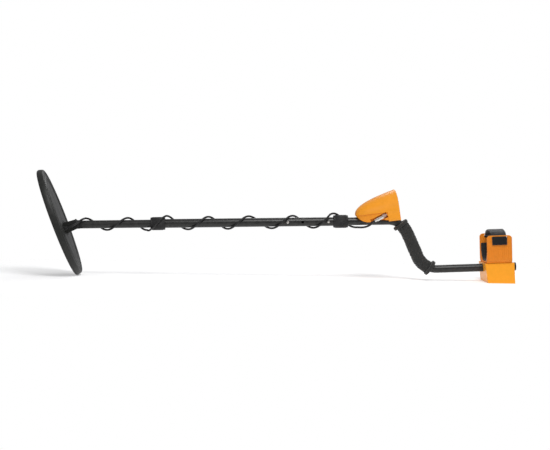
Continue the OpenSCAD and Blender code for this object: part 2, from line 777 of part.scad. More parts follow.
module housing_screws() color("#9a9a96") at_face() for (side = [-1, 1])
    translate([-22, side * (house_w / 2 - 12), 12.5]) {
        cylinder(h = 12, r = 1.4);
        translate([0, 0, -1]) cylinder(h = 1.5, r = 2.6);
    }

module stem_screws() color("#9a9a96") stored() for (x = stem_screw_x)
    translate([x, 0, tube_r - tube_wall - 2]) cylinder(h = 9, r = screw_r - 0.05);

// ---- Arm cuff, drawn on the rear tube ----

cuff_x = rear_len - 77;         // where the cuff starts along the rear tube
seat_z = 13;                    // height of the cuff's floor over the tube's centre line
foot_top_w = 92;
foot_base_w = 104;
heel_r = 10;                    // radius of the cuff's lower edges
foot_taper = 5;
cuff_bolt_x = [cuff_x + 15, cuff_x + cuff_len - 15];
cuff_bolt_r = 2.5;
cuff_corner_z = seat_z + cuff_corner;
pad_thick = 3;
pad_h = 60;

// The cuff's U, seen along the arm, grown or shrunk by an inset
module u_outline(inset) {
    r = cuff_corner - inset;
    for (side = [-1, 1]) translate([side * (cuff_w / 2 - cuff_corner), cuff_corner_z]) circle(r);
    translate([-cuff_w / 2 + cuff_corner, seat_z + inset]) square([cuff_w - 2 * cuff_corner, cuff_corner]);
    translate([-cuff_w / 2 + inset, cuff_corner_z]) square([cuff_w - 2 * inset, far]);
}

// The cuff's outside, seen along the arm
module cuff_outside() {
    for (side = [-1, 1]) translate([side * (cuff_w / 2 - heel_r), seat_z + heel_r]) circle(heel_r);
    translate([-cuff_w / 2 + heel_r, seat_z]) square([cuff_w - 2 * heel_r, heel_r]);
    translate([-cuff_w / 2, seat_z + heel_r]) square([cuff_w, far]);
}

// Stands an outline seen along the arm on the rear tube, from one place over a length
module along_arm(x, len) translate([x, 0, 0]) rotate([90, 0, 90]) linear_extrude(len) children();

slot_from = wing_h - 11;
slot_h = 8.5;
wing_round = 9;

module arm_cuff() color("#ea8f28") on_rear_tube() difference() {
    along_arm(cuff_x, cuff_len) difference() {
        cuff_outside();
        u_outline(cuff_wall);
    }
    rotate([90, 0, 0]) linear_extrude(far, center = true) difference() {
        translate([cuff_x - 1, wing_h - wing_round]) square([cuff_len + 2, far]);
        translate([cuff_x + wing_round, wing_h - wing_round]) circle(wing_round);
        translate([cuff_x + cuff_len - wing_round, wing_h - wing_round]) circle(wing_round);
        translate([cuff_x + wing_round, wing_h - wing_round - 1])
            square([cuff_len - 2 * wing_round, wing_round + 1]);
    }
    translate([cuff_x + cuff_len / 2 - strap_w / 2 - 1, -far / 2, slot_from])
        cube([strap_w + 2, far, slot_h]);
    for (x = cuff_bolt_x) translate([x, 0, 0]) {
        cylinder(h = far / 10, r = cuff_bolt_r + play);
        translate([0, 0, seat_z + 1.5]) cylinder(h = cuff_wall, r = 5.2);
    }
}

foot_wall = 4;
foot_web_w = tube_d + 10;       // width of the web that holds the tube

// The foot's tapered block, shrunk by an inset and carried lower by it
module foot_block(inset) hull() {
    translate([cuff_x - foot_taper + 1 + inset, -foot_top_w / 2 + inset, seat_z - 2 - inset])
        cube([cuff_len + 2 * foot_taper - 2 * inset, foot_top_w - 2 * inset, 2]);
    translate([cuff_x + 1 + inset, -foot_base_w / 2 + inset, -tube_d * 2 - inset])
        cube([cuff_len + foot_taper - 2 * inset, foot_base_w - 2 * inset, 2]);
}

module cuff_foot() color("#f7a436") difference() {
    on_rear_tube() difference() {
        foot_block(0);
        difference() {
            foot_block(foot_wall);
            translate([0, -foot_web_w / 2, -far / 2]) cube([far, foot_web_w, far]);
        }
        rod_x(0, far, tube_r + 0.02);
        for (x = cuff_bolt_x) translate([x, 0, 0]) {
            cylinder(h = far, r = cuff_bolt_r + play, center = true);
            translate([0, 0, -far - foot_nut_z]) cylinder(h = far, r = 5.4);
        }
    }
    translate([-far, -far, -2 * far]) cube(2 * far);
}

foot_nut_z = tube_d / 2 + 6;

module cuff_bolts() color("#b9b9b5") on_rear_tube() for (x = cuff_bolt_x) translate([x, 0, 0]) {
    translate([0, 0, -foot_nut_z - 5]) cylinder(h = foot_nut_z + 5 + seat_z + 1.6, r = cuff_bolt_r);
    translate([0, 0, seat_z + 1.5]) cylinder(h = 2.3, r = 4.8);
}

module cuff_nuts() color("#b9b9b5") on_rear_tube() for (x = cuff_bolt_x) translate([x, 0, -foot_nut_z - 4])
    difference() {
        cylinder(h = 3.9, r = 4.6, $fn = 6);
        translate([0, 0, -1]) cylinder(h = 6, r = cuff_bolt_r + 0.02);
    }

module cuff_pad() color("#262626") on_rear_tube() along_arm(cuff_x + 3, cuff_len - 6) difference() {
    intersection() {
        u_outline(cuff_wall + 0.05);
        translate([-far, 0]) square([2 * far, pad_h]);
    }
    u_outline(cuff_wall + pad_thick);
}

// The strap's route over the arm, seen along it: out of the near slot, over, out of the far slot
strap_half = [[cuff_w / 2 + 1.6, wing_h - 24], [cuff_w / 2 + 1.6, wing_h - 8], [cuff_w / 2 - 7, wing_h - 4],
    [cuff_w / 2 - 14, wing_h + 4], [cuff_w / 2 - 26, wing_h + 9], [0, wing_h + 12.5]];
strap_route = concat(strap_half,
    [for (i = [len(strap_half) - 2 : -1 : 0]) [-strap_half[i][0], strap_half[i][1]]]);

joint_swell = 0.06;             // how much a bend in the strap is thicker than its straights

module cuff_strap() color("#161616") on_rear_tube()
    along_arm(cuff_x + cuff_len / 2 - strap_w / 2, strap_w) union() {
        for (i = [0 : len(strap_route) - 2]) let (a = strap_route[i], d = strap_route[i + 1] - a)
            translate(a) rotate(atan2(d[1], d[0])) translate([0, -strap_thick / 2])
                square([norm(d), strap_thick]);
        for (p = strap_route) translate(p) circle(strap_thick / 2 + joint_swell);
    }

// ---- Coil cable ----

// A point on the gland's axis, some way over the coil's top, on the level stem
function over_gland(up) = let (reach = half_thick + up - pivot_rise)
    [reach * sin(coil_angle), gland_y, reach * cos(coil_angle)];

// Lead from the gland to the top of the stem, on the level stem
lead_end = [26.5, 0, 15.6];
lead_route = concat([for (up = [-1.8, gland_h - 1]) over_gland(up)],
    [[-6, gland_y, -2.5], [3, -32, 2], [11, -26.5, 7], [19, -15, 13], lead_end]);

// Wrap: station, turn from the top through the far side, and distance from the stem's axis
lower_wrap = [[26.5, 0, 15.6], [80.6, 180, 14.4], [133.3, 360, 15.4], [156, 450, 15], [179.7, 540, 15.8]];
upper_wrap = [[181.4, 546, 15.9], [188, 576, 20.2], [230, 702, 20.2], [236, 730, 18.5], [256, 810, 16],
    [285.8, 900, 15.5], [336.7, 1080, 15.8], [385.6, 1260, 15.5], [438.5, 1440, 16], [497.4, 1620, 15.4],
    [550.4, 1800, 15.9], [603, 1980, 15.4], [629, 2070, 15.8], [647, 2136, 20.5], [692, 2272, 20.5],
    [704, 2307, 17], [715.7, 2340, 15.6]];
tail_route = [[728, -9, -15.5], [738, -20, -13], [747, -29.5, -7.5], [753.5, -36, 0.4], [759.5, -36, 3.6]];

cable_sides = 8;
wrap_step = 36;                 // turn between two rings of the wrap

function on_wrap(s) = [s[0], s[2] * sin(s[1]), s[2] * cos(s[1])];
function mixed(a, b, t) = a + (b - a) * t;

// Points along a wrap, from its first station to its last
function wrap_points(wrap) = [for (i = [0 : len(wrap) - 2])
    let (steps = ceil((wrap[i + 1][1] - wrap[i][1]) / wrap_step), last = i == len(wrap) - 2)
        for (k = [0 : last ? steps : steps - 1]) on_wrap(mixed(wrap[i], wrap[i + 1], k / steps))];

function unit(v) = v / norm(v);

// The ring of the cable at one point of its route
function cable_ring(route, i) = let (
        ahead = route[min(i + 1, len(route) - 1)] - route[max(i - 1, 0)],
        t = unit(ahead),
        b = unit(cross(t, [0, route[i][1], route[i][2]])),
        n = cross(b, t))
    [for (k = [0 : cable_sides - 1]) let (q = -360 * k / cable_sides)
        route[i] + cable_d / 2 * (n * cos(q) + b * sin(q))];

module cable(route) color("#191919") stored() loft([for (i = [0 : len(route) - 1]) cable_ring(route, i)]);

module cable_lead() cable(lead_route);
module cable_lower() cable(wrap_points(lower_wrap));
module cable_upper() cable(concat(wrap_points(upper_wrap), tail_route));

coil_top_cover();
coil_sole();
transmit_winding();
receive_winding();
cable_gland();
tilt_bolt();
tilt_washers();
tilt_knob();
stem_tip();
lower_stem();
middle_stem();
upper_stem();
lower_lock_sleeve();
lower_lock_bush();
lower_lock_nut();
upper_lock_sleeve();
upper_lock_bush();
upper_lock_nut();
lower_spring_clip();
lower_snap_button();
upper_spring_clip();
upper_snap_button();
tube_end_cap();
hand_grip();
housing_base();
housing_shell();
battery_door();
display_bezel();
display_window();
display_module();
circuit_board();
speaker();
battery_tray();
battery_contacts();
battery_cells();
key_power();
key_mode();
key_pinpoint();
key_sense_up();
key_sense_down();
key_notch_left();
key_notch_right();
key_eliminate();
headphone_socket();
socket_nut();
coil_socket();
coil_plug();
coupling_ring();
housing_screws();
stem_screws();
arm_cuff();
cuff_foot();
cuff_pad();
cuff_strap();
cuff_bolts();
cuff_nuts();
cable_lead();
cable_lower();
cable_upper();
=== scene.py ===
"""Looks of the metal detector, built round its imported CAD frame.

Scene lengths are in metres. The placing functions (stem, coil, face, rear) and their sizes are in mm.
"""

import json
import math
from math import cos, pi, radians, sin

import bmesh
import bpy
from mathutils import Matrix, Vector, noise


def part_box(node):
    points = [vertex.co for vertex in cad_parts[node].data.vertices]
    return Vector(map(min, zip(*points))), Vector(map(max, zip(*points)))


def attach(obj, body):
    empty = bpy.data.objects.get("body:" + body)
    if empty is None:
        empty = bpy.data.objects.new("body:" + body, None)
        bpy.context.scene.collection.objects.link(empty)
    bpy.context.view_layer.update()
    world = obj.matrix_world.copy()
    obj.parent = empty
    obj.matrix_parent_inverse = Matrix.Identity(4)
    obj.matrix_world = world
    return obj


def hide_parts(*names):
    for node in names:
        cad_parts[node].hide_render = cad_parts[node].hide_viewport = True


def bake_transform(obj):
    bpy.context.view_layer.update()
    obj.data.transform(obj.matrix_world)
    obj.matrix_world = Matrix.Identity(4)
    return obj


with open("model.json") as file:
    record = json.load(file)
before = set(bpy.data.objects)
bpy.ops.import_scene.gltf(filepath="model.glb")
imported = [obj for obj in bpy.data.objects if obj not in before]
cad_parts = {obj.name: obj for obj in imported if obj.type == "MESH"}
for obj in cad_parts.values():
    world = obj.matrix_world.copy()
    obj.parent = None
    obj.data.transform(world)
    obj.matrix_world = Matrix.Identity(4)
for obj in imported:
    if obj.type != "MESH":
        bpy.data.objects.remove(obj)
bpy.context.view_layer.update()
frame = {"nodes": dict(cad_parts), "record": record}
NODES = frame["nodes"]
JOINTS = {j["name"]: j for j in frame["record"]["behaviour"]["joints"]}
MM = 0.001

# ---- The stem's own frame: origin on the tilt bolt, x along the stem ----

PIVOT = Vector(JOINTS["coil_tilt"]["pos_m"])
STEM_X = Vector(JOINTS["lower_stem_slide"]["axis"])
STEM_Y = Vector((0, 1, 0))
STEM_Z = STEM_X.cross(STEM_Y)


def stem(x, y, z):
    """A point given in mm along, across and above the stem's axis, from the tilt bolt."""
    return PIVOT + (STEM_X * x + STEM_Y * y + STEM_Z * z) * MM


def tilted(origin, slope_x, slope_y, slope_z):
    """A function that places points given in mm in a frame of its own."""
    return lambda x, y, z: origin + (slope_x * x + slope_y * y + slope_z * z) * MM


def turned(direction, degrees):
    """A direction in the XZ plane, turned upward by an angle."""
    return Matrix.Rotation(-radians(degrees), 3, "Y") @ direction


# The coil's frame: x along its length to the rear, z out of its top
SOLE_MOUNT = next(m for m in frame["record"]["mounts"] if m["name"] == "coil_sole")
COIL_NORMAL = -Vector(SOLE_MOUNT["axis"])
COIL_X = Vector((COIL_NORMAL.z, 0, -COIL_NORMAL.x))
SOLE_CENTRE = Vector(SOLE_MOUNT["pos_m"])
COIL_HALF = 8.5
coil = tilted(SOLE_CENTRE + COIL_NORMAL * COIL_HALF * MM, COIL_X, STEM_Y, COIL_NORMAL)
COIL_A = 141
COIL_B = (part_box("coil_sole")[1][1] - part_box("coil_sole")[0][1]) / 2 / MM
COIL_TO_PIVOT = PIVOT - coil(0, 0, 0)
PIVOT_IN_COIL = Vector((COIL_TO_PIVOT.dot(COIL_X), 0, COIL_TO_PIVOT.dot(COIL_NORMAL))) / MM

# The housing's frame: x out of the face, z up it, origin at the middle of its lower edge
FACE_X = -Vector(JOINTS["key_power_press"]["axis"])
FACE_Z = FACE_X.cross(STEM_Y)
FACE_STATION, FACE_RISE = 821.2, 4.1
face = tilted(stem(FACE_STATION, 0, FACE_RISE), FACE_X, STEM_Y, FACE_Z)

# The S of the upper stem
BEND_X, BEND_R, BEND_ANGLE, BEND_GAP, REAR_RISE = 795, 54, 67, 64, 1.1
BEND_2_X = BEND_X + BEND_R * sin(radians(BEND_ANGLE)) + BEND_GAP * cos(radians(BEND_ANGLE))
BEND_2_Z = -BEND_R * (1 - cos(radians(BEND_ANGLE))) - BEND_GAP * sin(radians(BEND_ANGLE))
REAR_X = BEND_2_X + BEND_R * (sin(radians(BEND_ANGLE)) + sin(radians(REAR_RISE)))
REAR_Z = BEND_2_Z - BEND_R * (cos(radians(REAR_RISE)) - cos(radians(BEND_ANGLE)))
REAR_DIR = turned(STEM_X, REAR_RISE)
rear = tilted(stem(REAR_X, 0, REAR_Z), REAR_DIR, STEM_Y, REAR_DIR.cross(STEM_Y))


# ---- Mesh helpers ----

def new_object(name, verts, faces, smooth=True):
    mesh = bpy.data.meshes.new(name)
    mesh.from_pydata([tuple(v) for v in verts], [], faces)
    mesh.validate()
    tidy = bmesh.new()
    tidy.from_mesh(mesh)
    bmesh.ops.recalc_face_normals(tidy, faces=tidy.faces)
    tidy.to_mesh(mesh)
    tidy.free()
    for polygon in mesh.polygons:
        polygon.use_smooth = smooth
    piece = bpy.data.objects.new(name, mesh)
    bpy.context.collection.objects.link(piece)
    return piece


def loft(name, rings, closed=False, smooth=True):
    """A skin through rings of equal length, with flat ends unless it closes on itself."""
    count, n = len(rings), len(rings[0])
    verts = [p for ring in rings for p in ring]
    faces = []
    for i in range(count if closed else count - 1):
        for j in range(n):
            k, nxt = (j + 1) % n, (i + 1) % count
            faces.append((i * n + j, i * n + k, nxt * n + k, nxt * n + j))
    if not closed:
        faces += [tuple(range(n)), tuple(range((count - 1) * n, count * n))]
    return new_object(name, verts, faces, smooth)


def extruded(name, outline, place, start, end, smooth=False):
    """An outline of (u, v) pairs stood up by place(u, v, t) from one t to another."""
    return loft(name, [[place(u, v, t) for u, v in outline] for t in (start, end)], smooth=smooth)


def join(name, pieces):
    """Joins objects into one mesh."""
    bpy.ops.object.select_all(action="DESELECT")
    for piece in pieces:
        piece.select_set(True)
    bpy.context.view_layer.objects.active = pieces[0]
    bpy.ops.object.join()
    pieces[0].name = name
    return pieces[0]


def modify(piece, kind, **settings):
    """Adds a modifier and applies it."""
    modifier = piece.modifiers.new(kind.lower(), kind)
    for key, value in settings.items():
        setattr(modifier, key, value)
    bpy.context.view_layer.objects.active = piece
    bpy.ops.object.modifier_apply(modifier=modifier.name)
    return piece


def bevelled(piece, width_mm, segments=3, angle=35):
    modify(piece, "BEVEL", width=width_mm * MM, segments=segments, limit_method="ANGLE",
           angle_limit=radians(angle), harden_normals=False)
    return shaded(piece)


def shaded(piece, angle=40):
    """Smooth shading that keeps the sharp edges."""
    bpy.ops.object.select_all(action="DESELECT")
    piece.select_set(True)
    bpy.context.view_layer.objects.active = piece
    bpy.ops.object.shade_smooth_by_angle(angle=radians(angle))
    for modifier in list(piece.modifiers):
        bpy.ops.object.modifier_apply(modifier=modifier.name)
    return piece


def cut(piece, cutter):
    """Takes one mesh out of another."""
    modify(piece, "BOOLEAN", operation="DIFFERENCE", object=cutter, solver="EXACT")
    bpy.data.objects.remove(cutter)
    return piece


def circle(r, n, u, v):
    return [(u + r * cos(2 * pi * i / n), v + r * sin(2 * pi * i / n)) for i in range(n)]


def rounded(w, h, r, n=6):
    """A rounded rectangle, centred."""
    corners = [(w / 2 - r, h / 2 - r, 0), (r - w / 2, h / 2 - r, 1),
               (r - w / 2, r - h / 2, 2), (w / 2 - r, r - h / 2, 3)]
    return [(cu + r * cos(pi / 2 * (q + i / n)), cv + r * sin(pi / 2 * (q + i / n)))
            for cu, cv, q in corners for i in range(n + 1)]


def along(place, axis):
    """place() for an outline across one of a frame's axes, with t along that axis."""
    order = {"x": lambda u, v, t: place(t, u, v),
             "y": lambda u, v, t: place(u, t, v),
             "z": lambda u, v, t: place(u, v, t)}
    return order[axis]


def turned_solid(name, profile, place, axis, centre, n=64):
    """A solid of revolution through (t, r) pairs along an axis of a frame."""
    stand = along(place, axis)
    rings = [[stand(u, v, t) for u, v in circle(max(r, 0.01), n, *centre)] for t, r in profile]
    return loft(name, rings)


def swept(name, points, radius, sides):
    """A round tube along points."""
    rings, normal = [], None
    last = len(points) - 1
    for i, p in enumerate(points):
        ahead = (points[min(i + 1, last)] - points[max(i - 1, 0)]).normalized()
        normal = (ahead.orthogonal() if normal is None else normal - ahead * normal.dot(ahead)).normalized()
        side = ahead.cross(normal)
        ring = []
        for j in range(sides):
            q = 2 * pi * j / sides
            ring.append(p + (normal * cos(q) + side * sin(q)) * radius)
        rings.append(ring)
    return loft(name, rings)


def smooth_line(points, step):
    """Points every step along a Catmull-Rom curve through the given ones."""
    out = []
    for i in range(len(points) - 1):
        a, b, c, d = (points[max(i - 1, 0)], points[i], points[i + 1], points[min(i + 2, len(points) - 1)])
        parts = max(1, math.ceil((c - b).length / step))
        for k in range(parts):
            t = k / parts
            out.append(0.5 * (2 * b + (c - a) * t + (2 * a - 5 * b + 4 * c - d) * t ** 2
                              + (3 * b - a - 3 * c + d) * t ** 3))
    return out + [points[-1]]


# ---- Materials ----

def shader(name):
    material = bpy.data.materials.new(name)
    material.use_nodes = True
    tree = material.node_tree
    return material, tree, tree.nodes["Principled BSDF"]


def texture(tree, kind, scale, **settings):
    """A texture node on object coordinates, stretched by scale."""
    place = tree.nodes.new("ShaderNodeTexCoord")
    mapping = tree.nodes.new("ShaderNodeMapping")
    mapping.inputs["Scale"].default_value = scale if hasattr(scale, "__len__") else (scale,) * 3
    tree.links.new(place.outputs["Object"], mapping.inputs["Vector"])
    node = tree.nodes.new(kind)
    for key, value in settings.items():
        if key in node.inputs:
            node.inputs[key].default_value = value
        else:
            setattr(node, key, value)
    tree.links.new(mapping.outputs["Vector"], node.inputs["Vector"])
    return node


def ramp(tree, source, stops):
    """A colour ramp of (position, colour) stops."""
    node = tree.nodes.new("ShaderNodeValToRGB")
    while len(node.color_ramp.elements) < len(stops):
        node.color_ramp.elements.new(0.5)
    for element, (position, colour) in zip(node.color_ramp.elements, stops):
        element.position = position
        element.color = (*colour, 1)
    tree.links.new(source, node.inputs["Fac"])
    return node.outputs["Color"]


def ranged(tree, source, low, high, in_low=0.3, in_high=0.7):
    node = tree.nodes.new("ShaderNodeMapRange")
    for key, value in (("From Min", in_low), ("From Max", in_high), ("To Min", low), ("To Max", high)):
        node.inputs[key].default_value = value
    tree.links.new(source, node.inputs["Value"])
    return node.outputs["Result"]


def bump(tree, source, strength, distance, below=None):
    node = tree.nodes.new("ShaderNodeBump")
    node.inputs["Strength"].default_value = strength
    node.inputs["Distance"].default_value = distance
    tree.links.new(source, node.inputs["Height"])
    if below:
        tree.links.new(below, node.inputs["Normal"])
    return node.outputs["Normal"]


def shade(colour, factor):
    return tuple(min(1, c * factor) for c in colour)


def worn(tree, colour_output, edge_colour, amount):
    """Mixes an edge colour in where the surface is sharply convex."""
    geometry = tree.nodes.new("ShaderNodeNewGeometry")
    edge = ranged(tree, geometry.outputs["Pointiness"], 0, amount, 0.52, 0.6)
    mix = tree.nodes.new("ShaderNodeMix")
    mix.data_type = "RGBA"
    tree.links.new(edge, mix.inputs["Factor"])
    tree.links.new(colour_output, mix.inputs["A"])
    mix.inputs["B"].default_value = (*edge_colour, 1)
    return mix.outputs["Result"]


def moulded(name, colour, rough=0.45, grain=1600, depth=0.00004, mottle=0.12, coat=0.0, wear=0.25):
    """Moulded plastic: a fine spark-eroded grain, soft mottling, and paler worn edges."""
    material, tree, bsdf = shader(name)
    cloud = texture(tree, "ShaderNodeTexNoise", 22, Detail=6.0, Roughness=0.65)
    fine = texture(tree, "ShaderNodeTexNoise", grain, Detail=2.0)
    base = ramp(tree, cloud.outputs["Fac"], [(0.3, shade(colour, 1 - mottle)), (0.55, colour),
                                             (0.75, shade(colour, 1 + mottle))])
    tree.links.new(worn(tree, base, shade(colour, 1.6), wear), bsdf.inputs["Base Color"])
    tree.links.new(ranged(tree, cloud.outputs["Fac"], rough - 0.06, rough + 0.08), bsdf.inputs["Roughness"])
    tree.links.new(bump(tree, fine.outputs["Fac"], 0.5, depth), bsdf.inputs["Normal"])
    bsdf.inputs["Specular IOR Level"].default_value = 0.35
    bsdf.inputs["Coat Weight"].default_value = coat
    bsdf.inputs["Coat Roughness"].default_value = 0.25
    return material


def metal(name, colour, rough=0.3, metallic=1.0, grain=(40, 900, 900), depth=0.00002, scratch=0.1):
    """Metal with a drawn grain and fine scratches."""
    material, tree, bsdf = shader(name)
    lines = texture(tree, "ShaderNodeTexNoise", grain, Detail=4.0)
    cloud = texture(tree, "ShaderNodeTexNoise", 30, Detail=5.0)
    base = ramp(tree, cloud.outputs["Fac"], [(0.35, shade(colour, 1 - scratch)),
                                             (0.65, shade(colour, 1 + scratch))])
    tree.links.new(base, bsdf.inputs["Base Color"])
    tree.links.new(ranged(tree, lines.outputs["Fac"], rough - 0.07, rough + 0.09), bsdf.inputs["Roughness"])
    tree.links.new(bump(tree, lines.outputs["Fac"], 0.25, depth), bsdf.inputs["Normal"])
    bsdf.inputs["Metallic"].default_value = metallic
    return material


def foam(name, colour):
    """Closed-cell foam: small pores over soft creases, with painted shade in the creases and a painted
    highlight on the ridges between them.
    """
    material, tree, bsdf = shader(name)
    pores = texture(tree, "ShaderNodeTexVoronoi", 900)
    creases = texture(tree, "ShaderNodeTexNoise", (160, 90, 160), Detail=5.0, Distortion=1.2)
    # painted shade in the creases and painted highlight on the ridges: the colour follows the same noise as
    # the crease bump
    base = ramp(tree, creases.outputs["Fac"], [(0.32, shade(colour, 0.55)), (0.5, colour),
                                               (0.7, shade(colour, 1.7))])
    tree.links.new(base, bsdf.inputs["Base Color"])
    low = bump(tree, creases.outputs["Fac"], 0.6, 0.0009)
    tree.links.new(bump(tree, pores.outputs["Distance"], 0.35, 0.0003, low), bsdf.inputs["Normal"])
    bsdf.inputs["Roughness"].default_value = 0.82
    bsdf.inputs["Sheen Weight"].default_value = 0.2
    return material


def woven(name, colour, yarn=900):
    """Nylon webbing: two crossed rows of yarns, with painted shade between the yarns and a painted highlight
    on their crowns.
    """
    material, tree, bsdf = shader(name)
    warp = texture(tree, "ShaderNodeTexWave", yarn, bands_direction="X", Distortion=0.6)
    weft = texture(tree, "ShaderNodeTexWave", yarn * 0.6, bands_direction="Y", Distortion=0.8)
    both = tree.nodes.new("ShaderNodeMath")
    both.operation = "MULTIPLY"
    tree.links.new(warp.outputs["Fac"], both.inputs[0])
    tree.links.new(weft.outputs["Fac"], both.inputs[1])
    # painted shade between the yarns and painted highlight on their crowns, following the same pattern as the
    # bump
    tree.links.new(ramp(tree, both.outputs[0], [(0.1, shade(colour, 0.5)), (0.8, shade(colour, 2.2))]),
                   bsdf.inputs["Base Color"])
    tree.links.new(bump(tree, both.outputs[0], 0.7, 0.0003), bsdf.inputs["Normal"])
    bsdf.inputs["Roughness"].default_value = 0.75
    bsdf.inputs["Sheen Weight"].default_value = 0.3
    return material


def clear(name, colour):
    """Clear moulded window with faint smudges."""
    material, tree, bsdf = shader(name)
    smudge = texture(tree, "ShaderNodeTexNoise", 60, Detail=4.0)
    tree.links.new(ranged(tree, smudge.outputs["Fac"], 0.04, 0.14), bsdf.inputs["Roughness"])
    bsdf.inputs["Base Color"].default_value = (*colour, 1)
    bsdf.inputs["Transmission Weight"].default_value = 0.92
    bsdf.inputs["IOR"].default_value = 1.45
    return material


ORANGE = (0.94, 0.345, 0.012)
BLACK = (0.012, 0.012, 0.012)
MAT = {
    "coil": moulded("coil_plastic", (0.015, 0.0155, 0.0135), 0.44,
                    grain=420, depth=0.0002, mottle=0.5, wear=0.5),
    "sole": moulded("sole_plastic", (0.013, 0.0135, 0.012), 0.5,
                    grain=420, depth=0.0002, mottle=0.45, wear=0.6),
    "tube": metal("anodised_tube", (0.022, 0.022, 0.0205), 0.33, metallic=0.3, scratch=0.3),
    "black": moulded("black_plastic", BLACK, 0.5, mottle=0.25),
    "black_soft": moulded("black_rubber", (0.014, 0.014, 0.014), 0.68, grain=900, mottle=0.3, wear=0.1),
    "orange": moulded("orange_plastic", ORANGE, 0.36,
                      grain=1500, depth=0.00002, mottle=0.05, coat=0.15, wear=0.1),
    # painted shade: the cuff's wings are the same orange plastic as the shell and foot, given a darker copy
    # of its colour
    "orange_wing_painted_shade": moulded("orange_wing_painted_shade", (0.80, 0.235, 0.01), 0.45,
                           grain=1200, depth=0.00004, mottle=0.08, wear=0.25),
    # painted shade: the housing's base is the same orange plastic as the shell, given a darker copy of its
    # colour for the shade under the shell's overhang
    "orange_low_painted_shade": moulded("orange_base_painted_shade", (0.86, 0.28, 0.01), 0.42,
                          grain=1500, depth=0.00003, mottle=0.06, wear=0.12),
    "cable": moulded("cable_jacket", (0.013, 0.013, 0.013), 0.42,
                     grain=300, depth=0.00005, mottle=0.25, wear=0.0),
    "foam": foam("grip_foam", (0.015, 0.015, 0.0135)),
    "pad": foam("cuff_liner", (0.012, 0.012, 0.012)),
    "webbing": woven("strap_webbing", (0.012, 0.012, 0.013)),
    "hooks": moulded("hook_tape", (0.01, 0.01, 0.011), 0.85,
                     grain=2400, depth=0.0004, mottle=0.5, wear=0.0),
    "nickel": metal("nickel_plate", (0.72, 0.70, 0.66), 0.24),
    "steel": metal("steel", (0.52, 0.52, 0.51), 0.32),
    "spring": metal("spring_steel", (0.30, 0.29, 0.28), 0.35),
    "copper": metal("winding_wire", (0.52, 0.22, 0.09), 0.3, grain=(900, 900, 60)),
    "window": clear("window_plastic", (0.86, 0.90, 0.86)),
    "display": moulded("display_glass", (0.30, 0.34, 0.27), 0.25,
                       grain=60, depth=0.00001, mottle=0.05, wear=0.0),
    "segment": moulded("display_segment", (0.03, 0.035, 0.03), 0.3, mottle=0.1, wear=0.0),
    "board": moulded("solder_mask", (0.02, 0.12, 0.05), 0.3, grain=200, mottle=0.2),
    "key": moulded("key_rubber", (0.045, 0.047, 0.052), 0.6, mottle=0.15, wear=0.3),
    "mark": moulded("key_print", (0.75, 0.75, 0.72), 0.5, mottle=0.05, wear=0.0),
    "cell": moulded("cell_sleeve", (0.05, 0.08, 0.12), 0.3, mottle=0.1),
}


def paint(piece, material):
    piece.data.materials.clear()
    piece.data.materials.append(MAT[material])
    return piece


def fitted(piece, material, body, slot, *nodes):
    """Gives a new piece its material and its body, and hides the CAD nodes that it stands for. The slot
    argument is not used.
    """
    paint(piece, material)
    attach(piece, body)
    if nodes:
        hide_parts(*nodes)
    return piece


# ---- Search coil ----

FORK_IN = 11.5
EAR_T, EAR_R, EAR_BORE_R = 6, 12, 4.35
GLAND, GLAND_BORE_R = (PIVOT_IN_COIL.x, -34), 4.0
COIL_WALL = 2
WEB_HALF = 1.4
MIDDLE_INSET = 106
SOLE_INNER_Z = -6.4
SPINE_INSET, SPINE_RISE, SPINE_HALF, SPINE_END = 40, 0.5, 9, 120


def coil_ring(inset, z, rise=None, n=160):
    """One elliptical ring of the coil, in from its rim and raised by rise(x, y) if given."""
    ring = []
    for i in range(n):
        t = 2 * pi * i / n
        x, y = (COIL_A - inset) * cos(t), (COIL_B - inset) * sin(t)
        ring.append(coil(x, y, z + (rise(x, y) if rise else 0)))
    return ring


